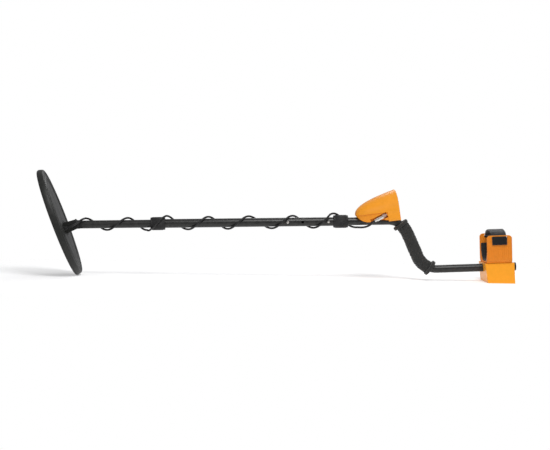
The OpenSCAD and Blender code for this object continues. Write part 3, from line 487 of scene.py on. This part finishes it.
def coil_cover():
    """The top cover: a drafted rim, a raised band inside it, a channel, an inner ring and a spine."""
    profile = [(0.05, -2.5), (0.0, -1.6), (1.6, 3.6), (2.6, 6.2), (3.6, 7.5), (5.0, 8.3), (6.6, 8.5),
               (9.0, 8.5), (9.8, 8.2), (10.4, 7.3), (11.2, 7.0), (20.0, 7.0), (21.0, 7.3), (21.8, 8.1),
               (22.8, 8.5), (25.6, 8.5), (26.6, 8.1), (27.4, 7.2), (28.4, 6.9), (40.0, 6.9), (41.0, 7.2),
               (42.0, 7.7), (44.0, 7.8),
               (58.0, 7.8), (80.0, 7.9), (98.0, 8.0), (MIDDLE_INSET, 8.0)]

    def spine(x, y):
        """A low spine along the middle of the coil."""
        return SPINE_RISE * max(0, 1 - (abs(y) / SPINE_HALF) ** 4) if abs(x) < SPINE_END else 0

    rings = [coil_ring(inset, z, spine if inset > SPINE_INSET else None) for inset, z in profile]
    inner = [coil_ring(MIDDLE_INSET, 5.2)]
    inner += [coil_ring(inset + COIL_WALL, z - 2.6) for inset, z in reversed(profile[:-1])]
    shell = loft("coil_cover_skin", inner + rings)
    cut(shell, turned_solid("gland_bore", [(-10, GLAND_BORE_R), (12, GLAND_BORE_R)], coil, "z", GLAND))
    pieces = [shell]
    px, pz = PIVOT_IN_COIL.x, PIVOT_IN_COIL.z
    for side in (-1, 1):
        y0 = side * (FORK_IN + EAR_T / 2)
        outline = [(px + EAR_R * cos(q), pz + EAR_R * sin(q)) for q in [pi * i / 28 for i in range(29)]]
        outline += [(px - EAR_R - 1.6, 14), (px - EAR_R - 3, 8), (px - EAR_R - 3, 6), (px + EAR_R + 3, 6),
                    (px + EAR_R + 3, 8), (px + EAR_R + 1.6, 14)]
        ear = extruded("ear", outline, along(coil, "y"), y0 - EAR_T / 2, y0 + EAR_T / 2)
        bevelled(ear, 0.9)
        hole = turned_solid("ear_bore", [(y0 - 9, EAR_BORE_R), (y0 + 9, EAR_BORE_R)], coil, "y", (px, pz))
        pieces.append(cut(ear, hole))
        # stiffening web outside each ear
        for lean in (-1, 1):
            near, far = px + lean * (EAR_R + 2.5), px + lean * (EAR_R + 15)
            web = [(near, 7), (near, 9), (far, 7)]
            pieces.append(extruded("ear_web", web, along(coil, "y"), y0 - WEB_HALF, y0 + WEB_HALF))
    return shaded(join("coil_cover", pieces), 30)


def coil_bottom():
    """The skid plate under the coil, with a rounded lower edge."""
    profile = [(4.5, -8.5), (2.6, -8.2), (1.2, -7.3), (0.35, -5.8), (0.0, -4.0), (0.0, -2.0)]
    outside = [coil_ring(inset, z) for inset, z in profile]
    floor = [coil_ring(inset, -COIL_HALF) for inset in (MIDDLE_INSET, 64, 60, 30, 14)]
    inside = [coil_ring(inset + COIL_WALL, max(z, SOLE_INNER_Z)) for inset, z in reversed(profile)]
    inside.append(coil_ring(MIDDLE_INSET, SOLE_INNER_Z))
    return shaded(loft("coil_skid", floor + outside + inside), 30)


# ---- Stem and its locks ----

LOCK_LEN, LOCK_R, LOCK_BORE_R = 37, 16.7, 10.35
LOCK_RIBS, LOCK_SIDES, RIB_DEPTH = 36, 288, 0.55
LOWER_LOCK, UPPER_LOCK = 191, 692


def lock_nut(name, station, way):
    """A twist lock's nut: rounded ends, a waist at each and fine ribs between them."""
    profile = [(0.0, 13.2), (0.0, 14.6), (0.35, 15.3), (1.0, 15.8), (2.2, 15.9), (3.0, 15.6), (3.6, 15.7),
               (4.6, 16.6), (20, LOCK_R), (31.6, 16.6), (32.6, 15.7), (33.2, 15.6), (34.5, 15.9), (36, 15.8),
               (36.6, 15.3), (LOCK_LEN, 14.6), (LOCK_LEN, 13.2)]
    turns = [2 * pi * i / LOCK_SIDES for i in range(LOCK_SIDES)]

    def ring(t, r, depth):
        radii = [r - depth * (0.5 + 0.5 * cos(q * LOCK_RIBS)) ** 2 for q in turns]
        return [stem(station + way * t, radius * cos(q), radius * sin(q)) for radius, q in zip(radii, turns)]

    ribbed_from, ribbed_to = 4.5, 32
    rings = [ring(t, r, RIB_DEPTH if ribbed_from < t < ribbed_to else 0.0) for t, r in profile]
    bore = [ring(t, LOCK_BORE_R, 0.0) for t in (LOCK_LEN, 0)]
    return shaded(loft(name, rings + bore, closed=True), 50)


# ---- Control housing ----

HOUSE_LEN, HOUSE_W, FACE_H, SEAM_H, WALL = 108, 118, 76.5, 25, 2.4
SHELL_H = FACE_H - SEAM_H
PLAN_POWER, TOP_POWER, SECTION_POWER = 0.4, 0.44, 0.82


def arch(u, inset, n=72):
    """The shell's section at a share u of its length from the nose, as (y, height over the seam)."""
    w = max(HOUSE_W / 2 * u ** PLAN_POWER - inset, 0.5)
    h = max(SHELL_H * u ** TOP_POWER - inset, 0.5)
    ring = []
    for i in range(n + 1):
        q = pi * i / n
        s = max(sin(q), 0)
        ring.append((math.copysign(abs(cos(q)) ** SECTION_POWER, cos(q)) * w, h * s ** SECTION_POWER))
    return ring


def dome(name, rim=0.0):
    """The shell's rounded body from nose to face, as a wall open at its floor and its face."""
    steps = [0.0005, 0.002, 0.005, 0.01, 0.018, 0.03, 0.045, 0.065, 0.09]
    steps += [0.12 + 0.04 * i for i in range(22)]
    places = [(HOUSE_LEN * (u - 1), u, 0) for u in steps]
    places += [(-rim, 1, 0), (-rim * 0.3, 1, rim * 0.3), (0, 1, rim)] if rim else [(0, 1, 0)]
    rings = []
    for x, u, less in places:
        wall = arch(u, less) + list(reversed(arch(u, WALL)))
        rings.append([face(x, y, SEAM_H + z) for y, z in wall])
    return loft(name, rings)


CHEEK_FRONT, CHEEK_REAR, CHEEK_WALL = -30, -0.8, 2.0
DISPLAY_X = -4.3
DOOR_ANGLE, DOOR_FRONT, DOOR_REAR, DOOR_HALF, DOOR_GAP = 30.5, -60, 58, 22, 0.25
door_plane = tilted(face(-104, 0, 33), turned(FACE_X, DOOR_ANGLE), STEM_Y, turned(FACE_Z, DOOR_ANGLE))


def door_prism(gap):
    """The block of space that the battery door is cut from, grown by a gap."""
    front, back, half = DOOR_FRONT - gap, DOOR_REAR + gap, DOOR_HALF + gap
    outline = [(front, -half), (back, -half), (back, half), (front, half)]
    return extruded("door_prism", outline, door_plane, -gap, 120)


def bezel_outline(gap):
    """The display panel's arch: across and up."""
    points = [(y, SEAM_H + z) for y, z in arch(1, 1.3 - gap)]
    floor = 27 - gap
    kept = [p for p in points if p[1] > floor]
    half = max(abs(p[0]) for p in points if abs(p[1] - floor) < 3)
    return [(half, floor)] + kept + [(-half, floor)]


def facing(u, v, t):
    return face(t, u, v)


def housing_shell():
    shell = dome("shell", rim=1.2)
    cut(shell, door_prism(DOOR_GAP))
    cut(shell, extruded("bezel_seat", bezel_outline(0.1), facing, -5.2, 3))
    pieces = [shell]
    for side in (-1, 1):
        # the shell's cheek, which reaches down behind the connector
        top = SEAM_H + 0.6
        section = ((0, top), (0, 3), (0.35, 1.6), (1.2, 0.6), (CHEEK_WALL, 0.6), (CHEEK_WALL, top))
        rings = []
        for i in range(25):
            x = CHEEK_FRONT + (CHEEK_REAR - CHEEK_FRONT) * i / 24
            w = HOUSE_W / 2 * (1 + x / HOUSE_LEN) ** PLAN_POWER
            rings.append([face(x, side * (w - less), z) for less, z in section])
        pieces.append(bevelled(loft("cheek", rings, smooth=False), 0.5, 2))
    return shaded(join("shell_and_cheeks", pieces), 32)


GROOVE = ((-0.8, 2), (-0.55, 0), (0, -0.25), (0.55, 0), (0.8, 2))


def battery_door():
    door = dome("door")
    keep = door_prism(0)
    modify(door, "BOOLEAN", operation="INTERSECT", object=keep, solver="EXACT")
    bpy.data.objects.remove(keep)
    # finger grooves across the door, following its surface
    for i in range(6):
        u = 0.50 + 0.035 * i
        ring = [(y, z) for y, z in arch(u, 0.35, 200) if abs(y) < 12]
        x = HOUSE_LEN * (u - 1)
        rings = [[face(x + dx, y, SEAM_H + z + dz) for dx, dz in GROOVE] for y, z in ring[::4]]
        cut(door, loft("groove", rings))
    return shaded(door, 32)


def stroke(a, b, width):
    """A printed bar between two points of the face, as an outline."""
    start, end = Vector(a), Vector(b)
    ahead = (end - start).normalized() * width / 2
    side = Vector((-ahead.y, ahead.x))
    corners = (start - ahead + side, start - ahead - side, end + ahead - side, end + ahead + side)
    return [tuple(p) for p in corners]


SYMBOLS = {
    "power": [[(1.5 * cos(q), 1.5 * sin(q)), (1.5 * cos(q + 0.45), 1.5 * sin(q + 0.45))]
              for q in [2.2 + 0.45 * i for i in range(12)]] + [[(0, 0.4), (0, 2.0)]],
    "mode": [[(-1.9, y), (1.9, y)] for y in (-1.3, 0, 1.3)],
    "pinpoint": [[(-2.2, 0), (-0.8, 0)], [(0.8, 0), (2.2, 0)], [(0, -2.2), (0, -0.8)], [(0, 0.8), (0, 2.2)]],
    "eliminate": [[(-1.7, -1.6), (1.7, 1.6)], [(-1.7, 1.6), (1.7, -1.6)]],
    "notch_left": [[(1.0, 1.7), (-1.0, 0)], [(-1.0, 0), (1.0, -1.7)]],
    "notch_right": [[(-1.0, 1.7), (1.0, 0)], [(1.0, 0), (-1.0, -1.7)]],
    "sense_down": [[(-1.9, 0), (1.9, 0)]],
    "sense_up": [[(-1.9, 0), (1.9, 0)], [(0, -1.9), (0, 1.9)]],
}


def printed(strokes, place, t, width=0.55):
    """Printed bars, 0.05 mm proud of a surface at x = t in the housing's frame."""
    u0, v0 = place
    return [extruded("print", [(u0 + u, v0 + v) for u, v in stroke(a, b, width)], facing, t - 0.1, t + 0.05)
            for a, b in strokes]


def key_cap(name, place, w=11.0, h=8.0, r=2.6):
    """A key with a rounded shoulder and a shallow dish."""
    stages = [(0.0, -6.0), (0.0, 0.2), (0.15, 0.75), (0.6, 1.15), (1.4, 1.3), (2.6, 1.15), (3.6, 1.05)]
    rings = []
    for inset, t in stages:
        outline = rounded(w - 2 * inset, h - 2 * inset, max(r - inset, 0.3))
        rings.append([face(t, place[0] + u, place[1] + v) for u, v in outline])
    return loft(name, rings)


# ---- Hand grip, along the S of the stem ----

def s_point(length):
    """(x, z, slope in degrees) at a length along the stem's S, from the start of its first bend."""
    first = BEND_R * radians(BEND_ANGLE)
    if length < first:
        q = length / BEND_R
        return BEND_X + BEND_R * sin(q), -BEND_R * (1 - cos(q)), -math.degrees(q)
    x0 = BEND_X + BEND_R * sin(radians(BEND_ANGLE))
    z0 = -BEND_R * (1 - cos(radians(BEND_ANGLE)))
    if length < first + BEND_GAP:
        go = length - first
        return x0 + go * cos(radians(BEND_ANGLE)), z0 - go * sin(radians(BEND_ANGLE)), -BEND_ANGLE
    q = radians(BEND_ANGLE) - (length - first - BEND_GAP) / BEND_R
    return (BEND_2_X + BEND_R * (sin(radians(BEND_ANGLE)) - sin(q)),
            BEND_2_Z - BEND_R * (cos(q) - cos(radians(BEND_ANGLE))), -math.degrees(q))


GRIP_START = BEND_R * radians(33)
GRIP_END = BEND_R * radians(2 * BEND_ANGLE - 16) + BEND_GAP
FLANGE_SPAN = 5.5
FOAM_START, FOAM_LEN = GRIP_START + FLANGE_SPAN, GRIP_END - GRIP_START - 2 * FLANGE_SPAN
FOAM_R, FOAM_BORE_R, FLANGE_BORE_R = 16.7, 10.2, 10.5
FLANGE_LEAN = -17


def across_s(length, r, q):
    """A point round the S, on its square section."""
    x, z, slope = s_point(length)
    a = radians(slope + 90)
    return stem(x + r * cos(q) * cos(a), r * sin(q), z + r * cos(q) * sin(a))


def grip_foam():
    """The foam sleeve: creases round it, deeper and slanting where it bends, and soft ends."""
    sides, rings = 128, []
    count = 190
    for i in range(count + 1):
        length = FOAM_START + FOAM_LEN * i / count
        _, _, slope = s_point(length)
        bent = 1.0 if slope > -BEND_ANGLE + 1 else 0.6
        ends = min(1.0, min(i, count - i) / 5)
        ring = []
        for j in range(sides):
            q = 2 * pi * j / sides
            p = Vector((length, 16.75 * cos(q), 16.75 * sin(q)))
            slant = length + 9 * sin(q + 0.7)
            crease = noise.noise(Vector((slant / 4.4, cos(q) * 1.5, sin(q) * 1.5)))
            fold = noise.noise(Vector((slant / 9.5, cos(q) * 1.1 + 5, sin(q) * 1.1)))
            fine = noise.noise(p / 2.3)
            r = FOAM_R - 8.5 * max(0, 0.42 - abs(crease)) ** 2 * bent - 8 * max(0, 0.4 - abs(fold)) ** 2
            r += 0.3 * fine + 0.35 * noise.noise(p / 17)
            ring.append(across_s(length, r - 1.8 * (1 - ends), q))
        rings.append(ring)
    bore = [[across_s(FOAM_START + FOAM_LEN * (1 - i / 60), FOAM_BORE_R, 2 * pi * j / sides)
             for j in range(sides)] for i in range(61)]
    return loft("grip_foam", rings + bore, closed=True)


def grip_flange(name, length):
    """The soft flange at an end of the grip, with a rolled rim, leaning a little from square."""
    profile = [(-4.1, 12.5), (-4.1, 18.6), (-3.6, 19.9), (-2.5, 20.4), (0, 20.5), (2.5, 20.4), (3.6, 19.9),
               (4.1, 18.6), (4.1, 12.5), (4.1, FLANGE_BORE_R), (-4.1, FLANGE_BORE_R)]
    sides = 96
    x, z, slope = s_point(length)
    b = radians(slope + FLANGE_LEAN)
    a = b + pi / 2

    def place(t, r, q):
        across = r * cos(q)
        return stem(x + t * cos(b) + across * cos(a), r * sin(q), z + t * sin(b) + across * sin(a))

    rings = [[place(t, r, 2 * pi * j / sides) for j in range(sides)] for t, r in profile]
    return shaded(loft(name, rings, closed=True), 50)


# ---- Arm cuff ----

CUFF_X, CUFF_LEN, CUFF_W, CORNER, CUFF_WALL = 120, 64, 104, 36, 4
SEAT_Z, WING_H, WING_ROUND, HEEL_R = 13, 84, 9, 10
LINER_TOP, LINER_T, FLUTE_PITCH, FLUTE_DEPTH = 60, 3, 5.3, 0.6
STRAP_W, STRAP_T, SLOT_H, SLOT_DROP = 38, 2, 8.5, 6.75
BOLT_INSET, BOLT_HOLE_R, BOLT_HEAD_R = 15, 2.65, 5.2
CUFF_MID = CUFF_X + CUFF_LEN / 2


def cuff_section(corner, inset, top, n=14):
    """A U seen along the arm: (y, z) from the near wing's top, under the arm, to the far wing's top."""
    r, centre = corner - inset, SEAT_Z + corner
    half = [(-CUFF_W / 2 + inset, top + (centre - top) * i / n) for i in range(n)]
    for i in range(n + 1):
        q = pi / 2 * i / n
        half.append((-CUFF_W / 2 + corner - r * cos(q), centre - r * sin(q)))
    return half + [(-y, z) for y, z in reversed(half)]


def wing_top(x):
    """How high the wings are at a place along the cuff, with their corners rounded."""
    edge = min(x, CUFF_LEN - x)
    if edge > WING_ROUND:
        return WING_H
    return WING_H - WING_ROUND + math.sqrt(max(WING_ROUND ** 2 - (WING_ROUND - edge) ** 2, 0))


def cuff_shell():
    """The cuff: rounded rims, and shallow flutes up the outside of each wing."""
    rings, count = [], 128
    for i in range(count + 1):
        x = CUFF_LEN * i / count
        edge = min(x, CUFF_LEN - x)
        rim = 1.3 * (1 - min(1, edge / 1.5)) ** 2
        top = wing_top(max(x, 0.2) if x < CUFF_LEN / 2 else min(x, CUFF_LEN - 0.2))
        flute_top = min(top - 5, WING_H - 24)
        ring = []
        for y, z in cuff_section(HEEL_R, rim, top):
            flute = 0.0
            if edge > 2.5 and z < flute_top:
                wave = 0.5 - 0.5 * cos(2 * pi * x / FLUTE_PITCH)
                flute = FLUTE_DEPTH * wave * min(1, (flute_top - z) / 4)
            ring.append(rear(CUFF_X + x, y - math.copysign(flute, y), z))
        ring += [rear(CUFF_X + x, y, z) for y, z in reversed(cuff_section(CORNER, CUFF_WALL - rim, top))]
        rings.append(ring)
    cuff = loft("cuff", rings)
    slot = extruded("slots", rounded(STRAP_W + 2, SLOT_H, 3),
                    lambda u, v, t: rear(CUFF_MID + u, t, WING_H - SLOT_DROP + v), -80, 80)
    cut(cuff, slot)
    for x in (BOLT_INSET, CUFF_LEN - BOLT_INSET):
        for t0, t1, r in ((5, 30, BOLT_HOLE_R), (SEAT_Z + 1.5, 30, BOLT_HEAD_R)):
            cut(cuff, turned_solid("cuff_hole", [(t0, r), (t1, r)], rear, "z", centre=(CUFF_X + x, 0)))
    return shaded(cuff, 38)


def liner():
    """The foam liner inside the cuff, with a quilted surface and a soft top edge."""
    rings, count = [], 60
    for i in range(count + 1):
        x = 3 + (CUFF_LEN - 6) * i / count
        edge = min(i, count - i) / 3
        soft = 1.2 * max(0, 1 - edge) ** 2
        outer = cuff_section(CORNER, CUFF_WALL + 0.1 + soft * 0.2, LINER_TOP - soft)
        inner = cuff_section(CORNER, CUFF_WALL + LINER_T - soft, LINER_TOP - soft)
        ring = [rear(CUFF_X + x, y, z) for y, z in outer]
        ring += [rear(CUFF_X + x, y * (1 + 0.006 * noise.noise(Vector((x / 7, y / 9, z / 9)))), z)
                 for y, z in reversed(inner)]
        rings.append(ring)
    return loft("liner", rings)


def band(name, route, width, thick):
    """A flat woven band along a (y, z) route seen along the arm, with rounded edges."""
    line = smooth_line([Vector((y, z, 0)) for y, z in route], 1.2)
    edge = ((0.6, thick / 2), (0.15, thick / 3), (0, 0), (0.15, -thick / 3), (0.6, -thick / 2))
    section = [(a - width / 2, b) for a, b in edge]
    section += [(-u, v) for u, v in reversed(section)]
    rings = []
    for i, p in enumerate(line):
        ahead = (line[min(i + 1, len(line) - 1)] - line[max(i - 1, 0)]).normalized()
        side = Vector((-ahead.y, ahead.x, 0))
        rings.append([rear(CUFF_MID + u, *(p + side * v)[:2]) for u, v in section])
    return shaded(loft(name, rings), 60)


STRAP_HALF = [(CUFF_W / 2 + 1.6, WING_H - 24), (CUFF_W / 2 + 1.6, WING_H - 8), (CUFF_W / 2 - 7, WING_H - 4),
              (CUFF_W / 2 - 14, WING_H + 4), (CUFF_W / 2 - 26, WING_H + 9), (0, WING_H + 12.5)]
STRAP_ROUTE = STRAP_HALF + [(-y, z) for y, z in reversed(STRAP_HALF[:-1])]

# ---- Coil cable, from the gland to the connector ----

CABLE_R, CABLE_STEP = 2.5, 2
LEAD = [(-24.75, -34, -8.9), (-15.5, -34, -5.6), (-6, -34, -2.5), (3, -32, 2), (11, -26.5, 7), (19, -15, 13),
        (26.5, 0, 15.6)]
LOWER_WRAP = [(26.5, 0, 15.6), (80.6, 180, 14.4), (133.3, 360, 15.4), (156, 450, 15), (179.7, 540, 15.8)]
UPPER_WRAP = [(181.4, 546, 15.9), (188, 576, 20.2), (230, 702, 20.2), (236, 730, 18.5), (256, 810, 16),
              (285.8, 900, 15.5), (336.7, 1080, 15.8), (385.6, 1260, 15.5), (438.5, 1440, 16),
              (497.4, 1620, 15.4),
              (550.4, 1800, 15.9), (603, 1980, 15.4), (629, 2070, 15.8), (647, 2136, 20.5), (692, 2272, 20.5),
              (704, 2307, 17), (715.7, 2340, 15.6)]
TAIL = [(728, -9, -15.5), (738, -20, -13), (747, -29.5, -7.5), (753.5, -36, 0.4), (759.5, -36, 3.6)]


def on_wrap(x, degrees, r):
    return stem(x, r * sin(radians(degrees)), r * cos(radians(degrees)))


def wrap_line(wrap, step=9):
    """Points along a wrap of (station, turn from the top through the far side, distance from the axis)."""
    points = []
    for a, b in zip(wrap, wrap[1:]):
        parts = max(2, math.ceil((b[1] - a[1]) / step))
        points += [on_wrap(*(a[k] + (b[k] - a[k]) * i / parts for k in range(3))) for i in range(parts)]
    return points + [on_wrap(*wrap[-1])]


def cable(name, points):
    return swept(name, points, CABLE_R * MM, 20)


# ---- Pieces on their bodies ----

HANDLE = "handle"
fitted(coil_cover(), "coil", "coil", "coil_plastic", "coil_top_cover")
fitted(coil_bottom(), "sole", "coil", "coil_plastic", "coil_sole")
fitted(lock_nut("lower_nut", LOWER_LOCK, 1), "black", "lower_lock_nut", "black_plastic", "lower_lock_nut")
fitted(lock_nut("upper_nut", UPPER_LOCK, -1), "black", "upper_lock_nut", "black_plastic", "upper_lock_nut")
fitted(housing_shell(), "orange", HANDLE, "orange_plastic", "housing_shell")
fitted(battery_door(), "orange", "battery_door", "orange_plastic", "battery_door")
grip = join("hand_grip_foam", [grip_foam(), grip_flange("front_flange", GRIP_START + 3.5),
                               grip_flange("rear_flange", GRIP_END - 3.5)])
fitted(grip, "foam", HANDLE, "foam", "hand_grip")
# the cuff gets the darker copy of the orange, which is painted shade
fitted(cuff_shell(), "orange_wing_painted_shade", HANDLE, "orange_plastic", "arm_cuff")
pad = fitted(liner(), "pad", HANDLE, "foam", "cuff_pad")
strap = band("strap", STRAP_ROUTE, STRAP_W, STRAP_T)
PATCH_Y = -CUFF_W / 2 - 3.3
patch = band("strap_patch", [(PATCH_Y, WING_H - 22), (PATCH_Y, WING_H - 4)], STRAP_W - 3, 1.2)
fitted(strap, "webbing", HANDLE, "webbing", "cuff_strap")
fitted(patch, "hooks", HANDLE, "webbing")

TAIL_LINE = smooth_line([on_wrap(*UPPER_WRAP[-1])] + [stem(*p) for p in TAIL], CABLE_STEP * MM)
fitted(cable("cable_upper_line", wrap_line(UPPER_WRAP) + TAIL_LINE[1:]), "cable", HANDLE, "cable_jacket",
       "cable_upper")


def blended(piece, node):
    """A length of cable between two bodies, painted and with its placing baked into its mesh."""
    paint(piece, "cable")
    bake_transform(piece)
    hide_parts(node)


blended(cable("cable_lower_line", wrap_line(LOWER_WRAP)),
        "cable_lower")
blended(cable("cable_lead_line", smooth_line([stem(*p) for p in LEAD], CABLE_STEP * MM)),
        "cable_lead")

KEY_DISH_X = 1.07
KEY_PLACES = {"power": (-36, 34), "mode": (-12, 34), "pinpoint": (12, 34), "eliminate": (36, 34),
              "notch_left": (-42, 44.5), "notch_right": (42, 44.5),
              "sense_down": (-36, 55), "sense_up": (36, 55)}
for name, place in KEY_PLACES.items():
    cap = paint(key_cap("cap_" + name, place), "key")
    marks = [paint(mark, "mark") for mark in printed(SYMBOLS[name], place, KEY_DISH_X)]
    cap = join("cap_" + name, [cap] + marks)
    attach(cap, "key_" + name)
    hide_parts("key_" + name)

# a target scale and a sensitivity ladder on the display
ticks = [[(-20 + 3.6 * i, 47.5), (-20 + 3.6 * i, 51.1 if i % 3 == 0 else 49.5)] for i in range(12)]
ladder = [[(23, 50 + 2.4 * i), (23 + 0.8 * i - 2.5, 50 + 2.4 * i)] for i in range(6)]
baseline = [[(-21, 45.9), (21, 45.9)]]
bars = printed(ticks + ladder + baseline, (0, 0), DISPLAY_X, 0.8)
fitted(join("display_bars", bars), "segment", HANDLE, "display")

# ---- Finish of the pieces kept from the CAD ----

KEPT = {
    "tube": ["lower_stem", "middle_stem", "upper_stem"],
    "black": ["stem_tip", "tilt_bolt", "tilt_knob", "lower_lock_sleeve", "upper_lock_sleeve",
              "lower_lock_bush", "upper_lock_bush", "display_bezel", "battery_tray", "tube_end_cap",
              "cable_gland"],
    "black_soft": ["tilt_washers"],
    # the base gets the darker copy of the orange, which is painted shade
    "orange_low_painted_shade": ["housing_base"],
    "orange": ["cuff_foot"],
    "nickel": ["coil_socket", "coil_plug", "coupling_ring", "headphone_socket", "socket_nut",
               "battery_contacts", "lower_snap_button", "upper_snap_button"],
    "steel": ["housing_screws", "stem_screws", "cuff_bolts", "cuff_nuts", "speaker"],
    "spring": ["lower_spring_clip", "upper_spring_clip"],
    "copper": ["transmit_winding", "receive_winding"],
    "window": ["display_window"],
    "display": ["display_module"],
    "board": ["circuit_board"],
    "cell": ["battery_cells"],
}
for material, names in KEPT.items():
    for name in names:
        paint(NODES[name], material)
for name, width in (("housing_base", 0.8), ("cuff_foot", 1.4), ("stem_tip", 0.6), ("tilt_knob", 0.7),
                    ("tube_end_cap", 0.8), ("coil_plug", 0.4), ("coupling_ring", 0.3), ("display_bezel", 0.4),
                    ("socket_nut", 0.25), ("cuff_bolts", 0.3), ("cable_gland", 0.4), ("tilt_bolt", 0.6)):
    edge = NODES[name].modifiers.new("edges", "BEVEL")
    edge.width, edge.segments, edge.limit_method, edge.angle_limit = width * MM, 2, "ANGLE", radians(40)

# ---- Camera, light and floor ----

scene = bpy.context.scene
camera = bpy.data.objects.new("camera", bpy.data.cameras.new("camera"))
scene.collection.objects.link(camera)
scene.camera = camera
LENS, YAW, ELEVATION, ROLL = 94.752, radians(2.514), radians(2.889), radians(1.134)
CAMERA_PLACE = Vector((-169.6, -3672, 320.7))
camera.data.sensor_width = 36
camera.data.lens = LENS
camera.data.clip_end = 60
ahead = Vector((sin(YAW) * cos(ELEVATION), cos(YAW) * cos(ELEVATION), -sin(ELEVATION)))
right = Vector((cos(YAW), -sin(YAW), 0))
up = right.cross(ahead)
right, up = right * cos(ROLL) + up * sin(ROLL), up * cos(ROLL) - right * sin(ROLL)
basis = Matrix((right, up, -ahead)).transposed().to_4x4()
camera.matrix_world = Matrix.Translation(CAMERA_PLACE * MM) @ basis


def lamp(name, place, target, power, size):
    data = bpy.data.lights.new(name, "AREA")
    data.energy, data.shape, data.size = power, "DISK", size
    light = bpy.data.objects.new(name, data)
    scene.collection.objects.link(light)
    light.location = place
    light.rotation_euler = (Vector(target) - Vector(place)).to_track_quat("-Z", "Y").to_euler()


lamp("key", (0.5, -1.5, 2.3), (0.1, 0, 0.1), 37, 1.2)
lamp("fill", (-1.6, -2.2, 0.9), (0, 0, 0.1), 7, 1.6)
lamp("back", (0.5, 1.9, 1.7), (0, 0, 0.1), 12, 1.2)

def fading_floor():
    """A matt white floor that fades to the backdrop round the object."""
    half = 3
    corners = [(-half, -half, 0), (half, -half, 0), (half, half, 0), (-half, half, 0)]
    floor = new_object("floor", corners, [(0, 1, 2, 3)], smooth=False)
    material, tree, bsdf = shader("floor")
    bsdf.inputs["Base Color"].default_value = (0.9, 0.9, 0.9, 1)
    bsdf.inputs["Roughness"].default_value = 0.9
    bsdf.inputs["Specular IOR Level"].default_value = 0.0
    bsdf.inputs["Emission Color"].default_value = (1, 1, 1, 1)
    bsdf.inputs["Emission Strength"].default_value = 0.3
    spread = tree.nodes.new("ShaderNodeTexCoord")
    stretch = tree.nodes.new("ShaderNodeMapping")
    stretch.inputs["Scale"].default_value = (1.0, 2.2, 1.0)
    tree.links.new(spread.outputs["Object"], stretch.inputs["Vector"])
    length = tree.nodes.new("ShaderNodeVectorMath")
    length.operation = "LENGTH"
    tree.links.new(stretch.outputs["Vector"], length.inputs[0])
    fade_from, fade_to = 0.55, 1.3
    fade = ranged(tree, length.outputs["Value"], 0, 1, fade_from, fade_to)
    mixed = tree.nodes.new("ShaderNodeMixShader")
    nothing = tree.nodes.new("ShaderNodeBsdfTransparent")
    tree.links.new(fade, mixed.inputs["Fac"])
    tree.links.new(bsdf.outputs["BSDF"], mixed.inputs[1])
    tree.links.new(nothing.outputs["BSDF"], mixed.inputs[2])
    tree.links.new(mixed.outputs["Shader"], tree.nodes["Material Output"].inputs["Surface"])
    floor.data.materials.append(material)
    return floor


def white_world():
    """A backdrop that the camera sees as white, and that lights the object less than it shows."""
    world = bpy.data.worlds.new("white")
    world.use_nodes = True
    nodes, links = world.node_tree.nodes, world.node_tree.links
    path = nodes.new("ShaderNodeLightPath")
    either = nodes.new("ShaderNodeMath")
    either.operation = "MAXIMUM"
    links.new(path.outputs["Is Camera Ray"], either.inputs[0])
    links.new(path.outputs["Is Transmission Ray"], either.inputs[1])
    mix = nodes.new("ShaderNodeMix")
    mix.data_type = "RGBA"
    mix.inputs["A"].default_value = (0.42, 0.42, 0.43, 1)
    mix.inputs["B"].default_value = (1, 1, 1, 1)
    links.new(either.outputs[0], mix.inputs["Factor"])
    links.new(mix.outputs["Result"], nodes["Background"].inputs["Color"])
    return world


fading_floor()
scene.world = white_world()
scene.view_settings.view_transform = "Standard"
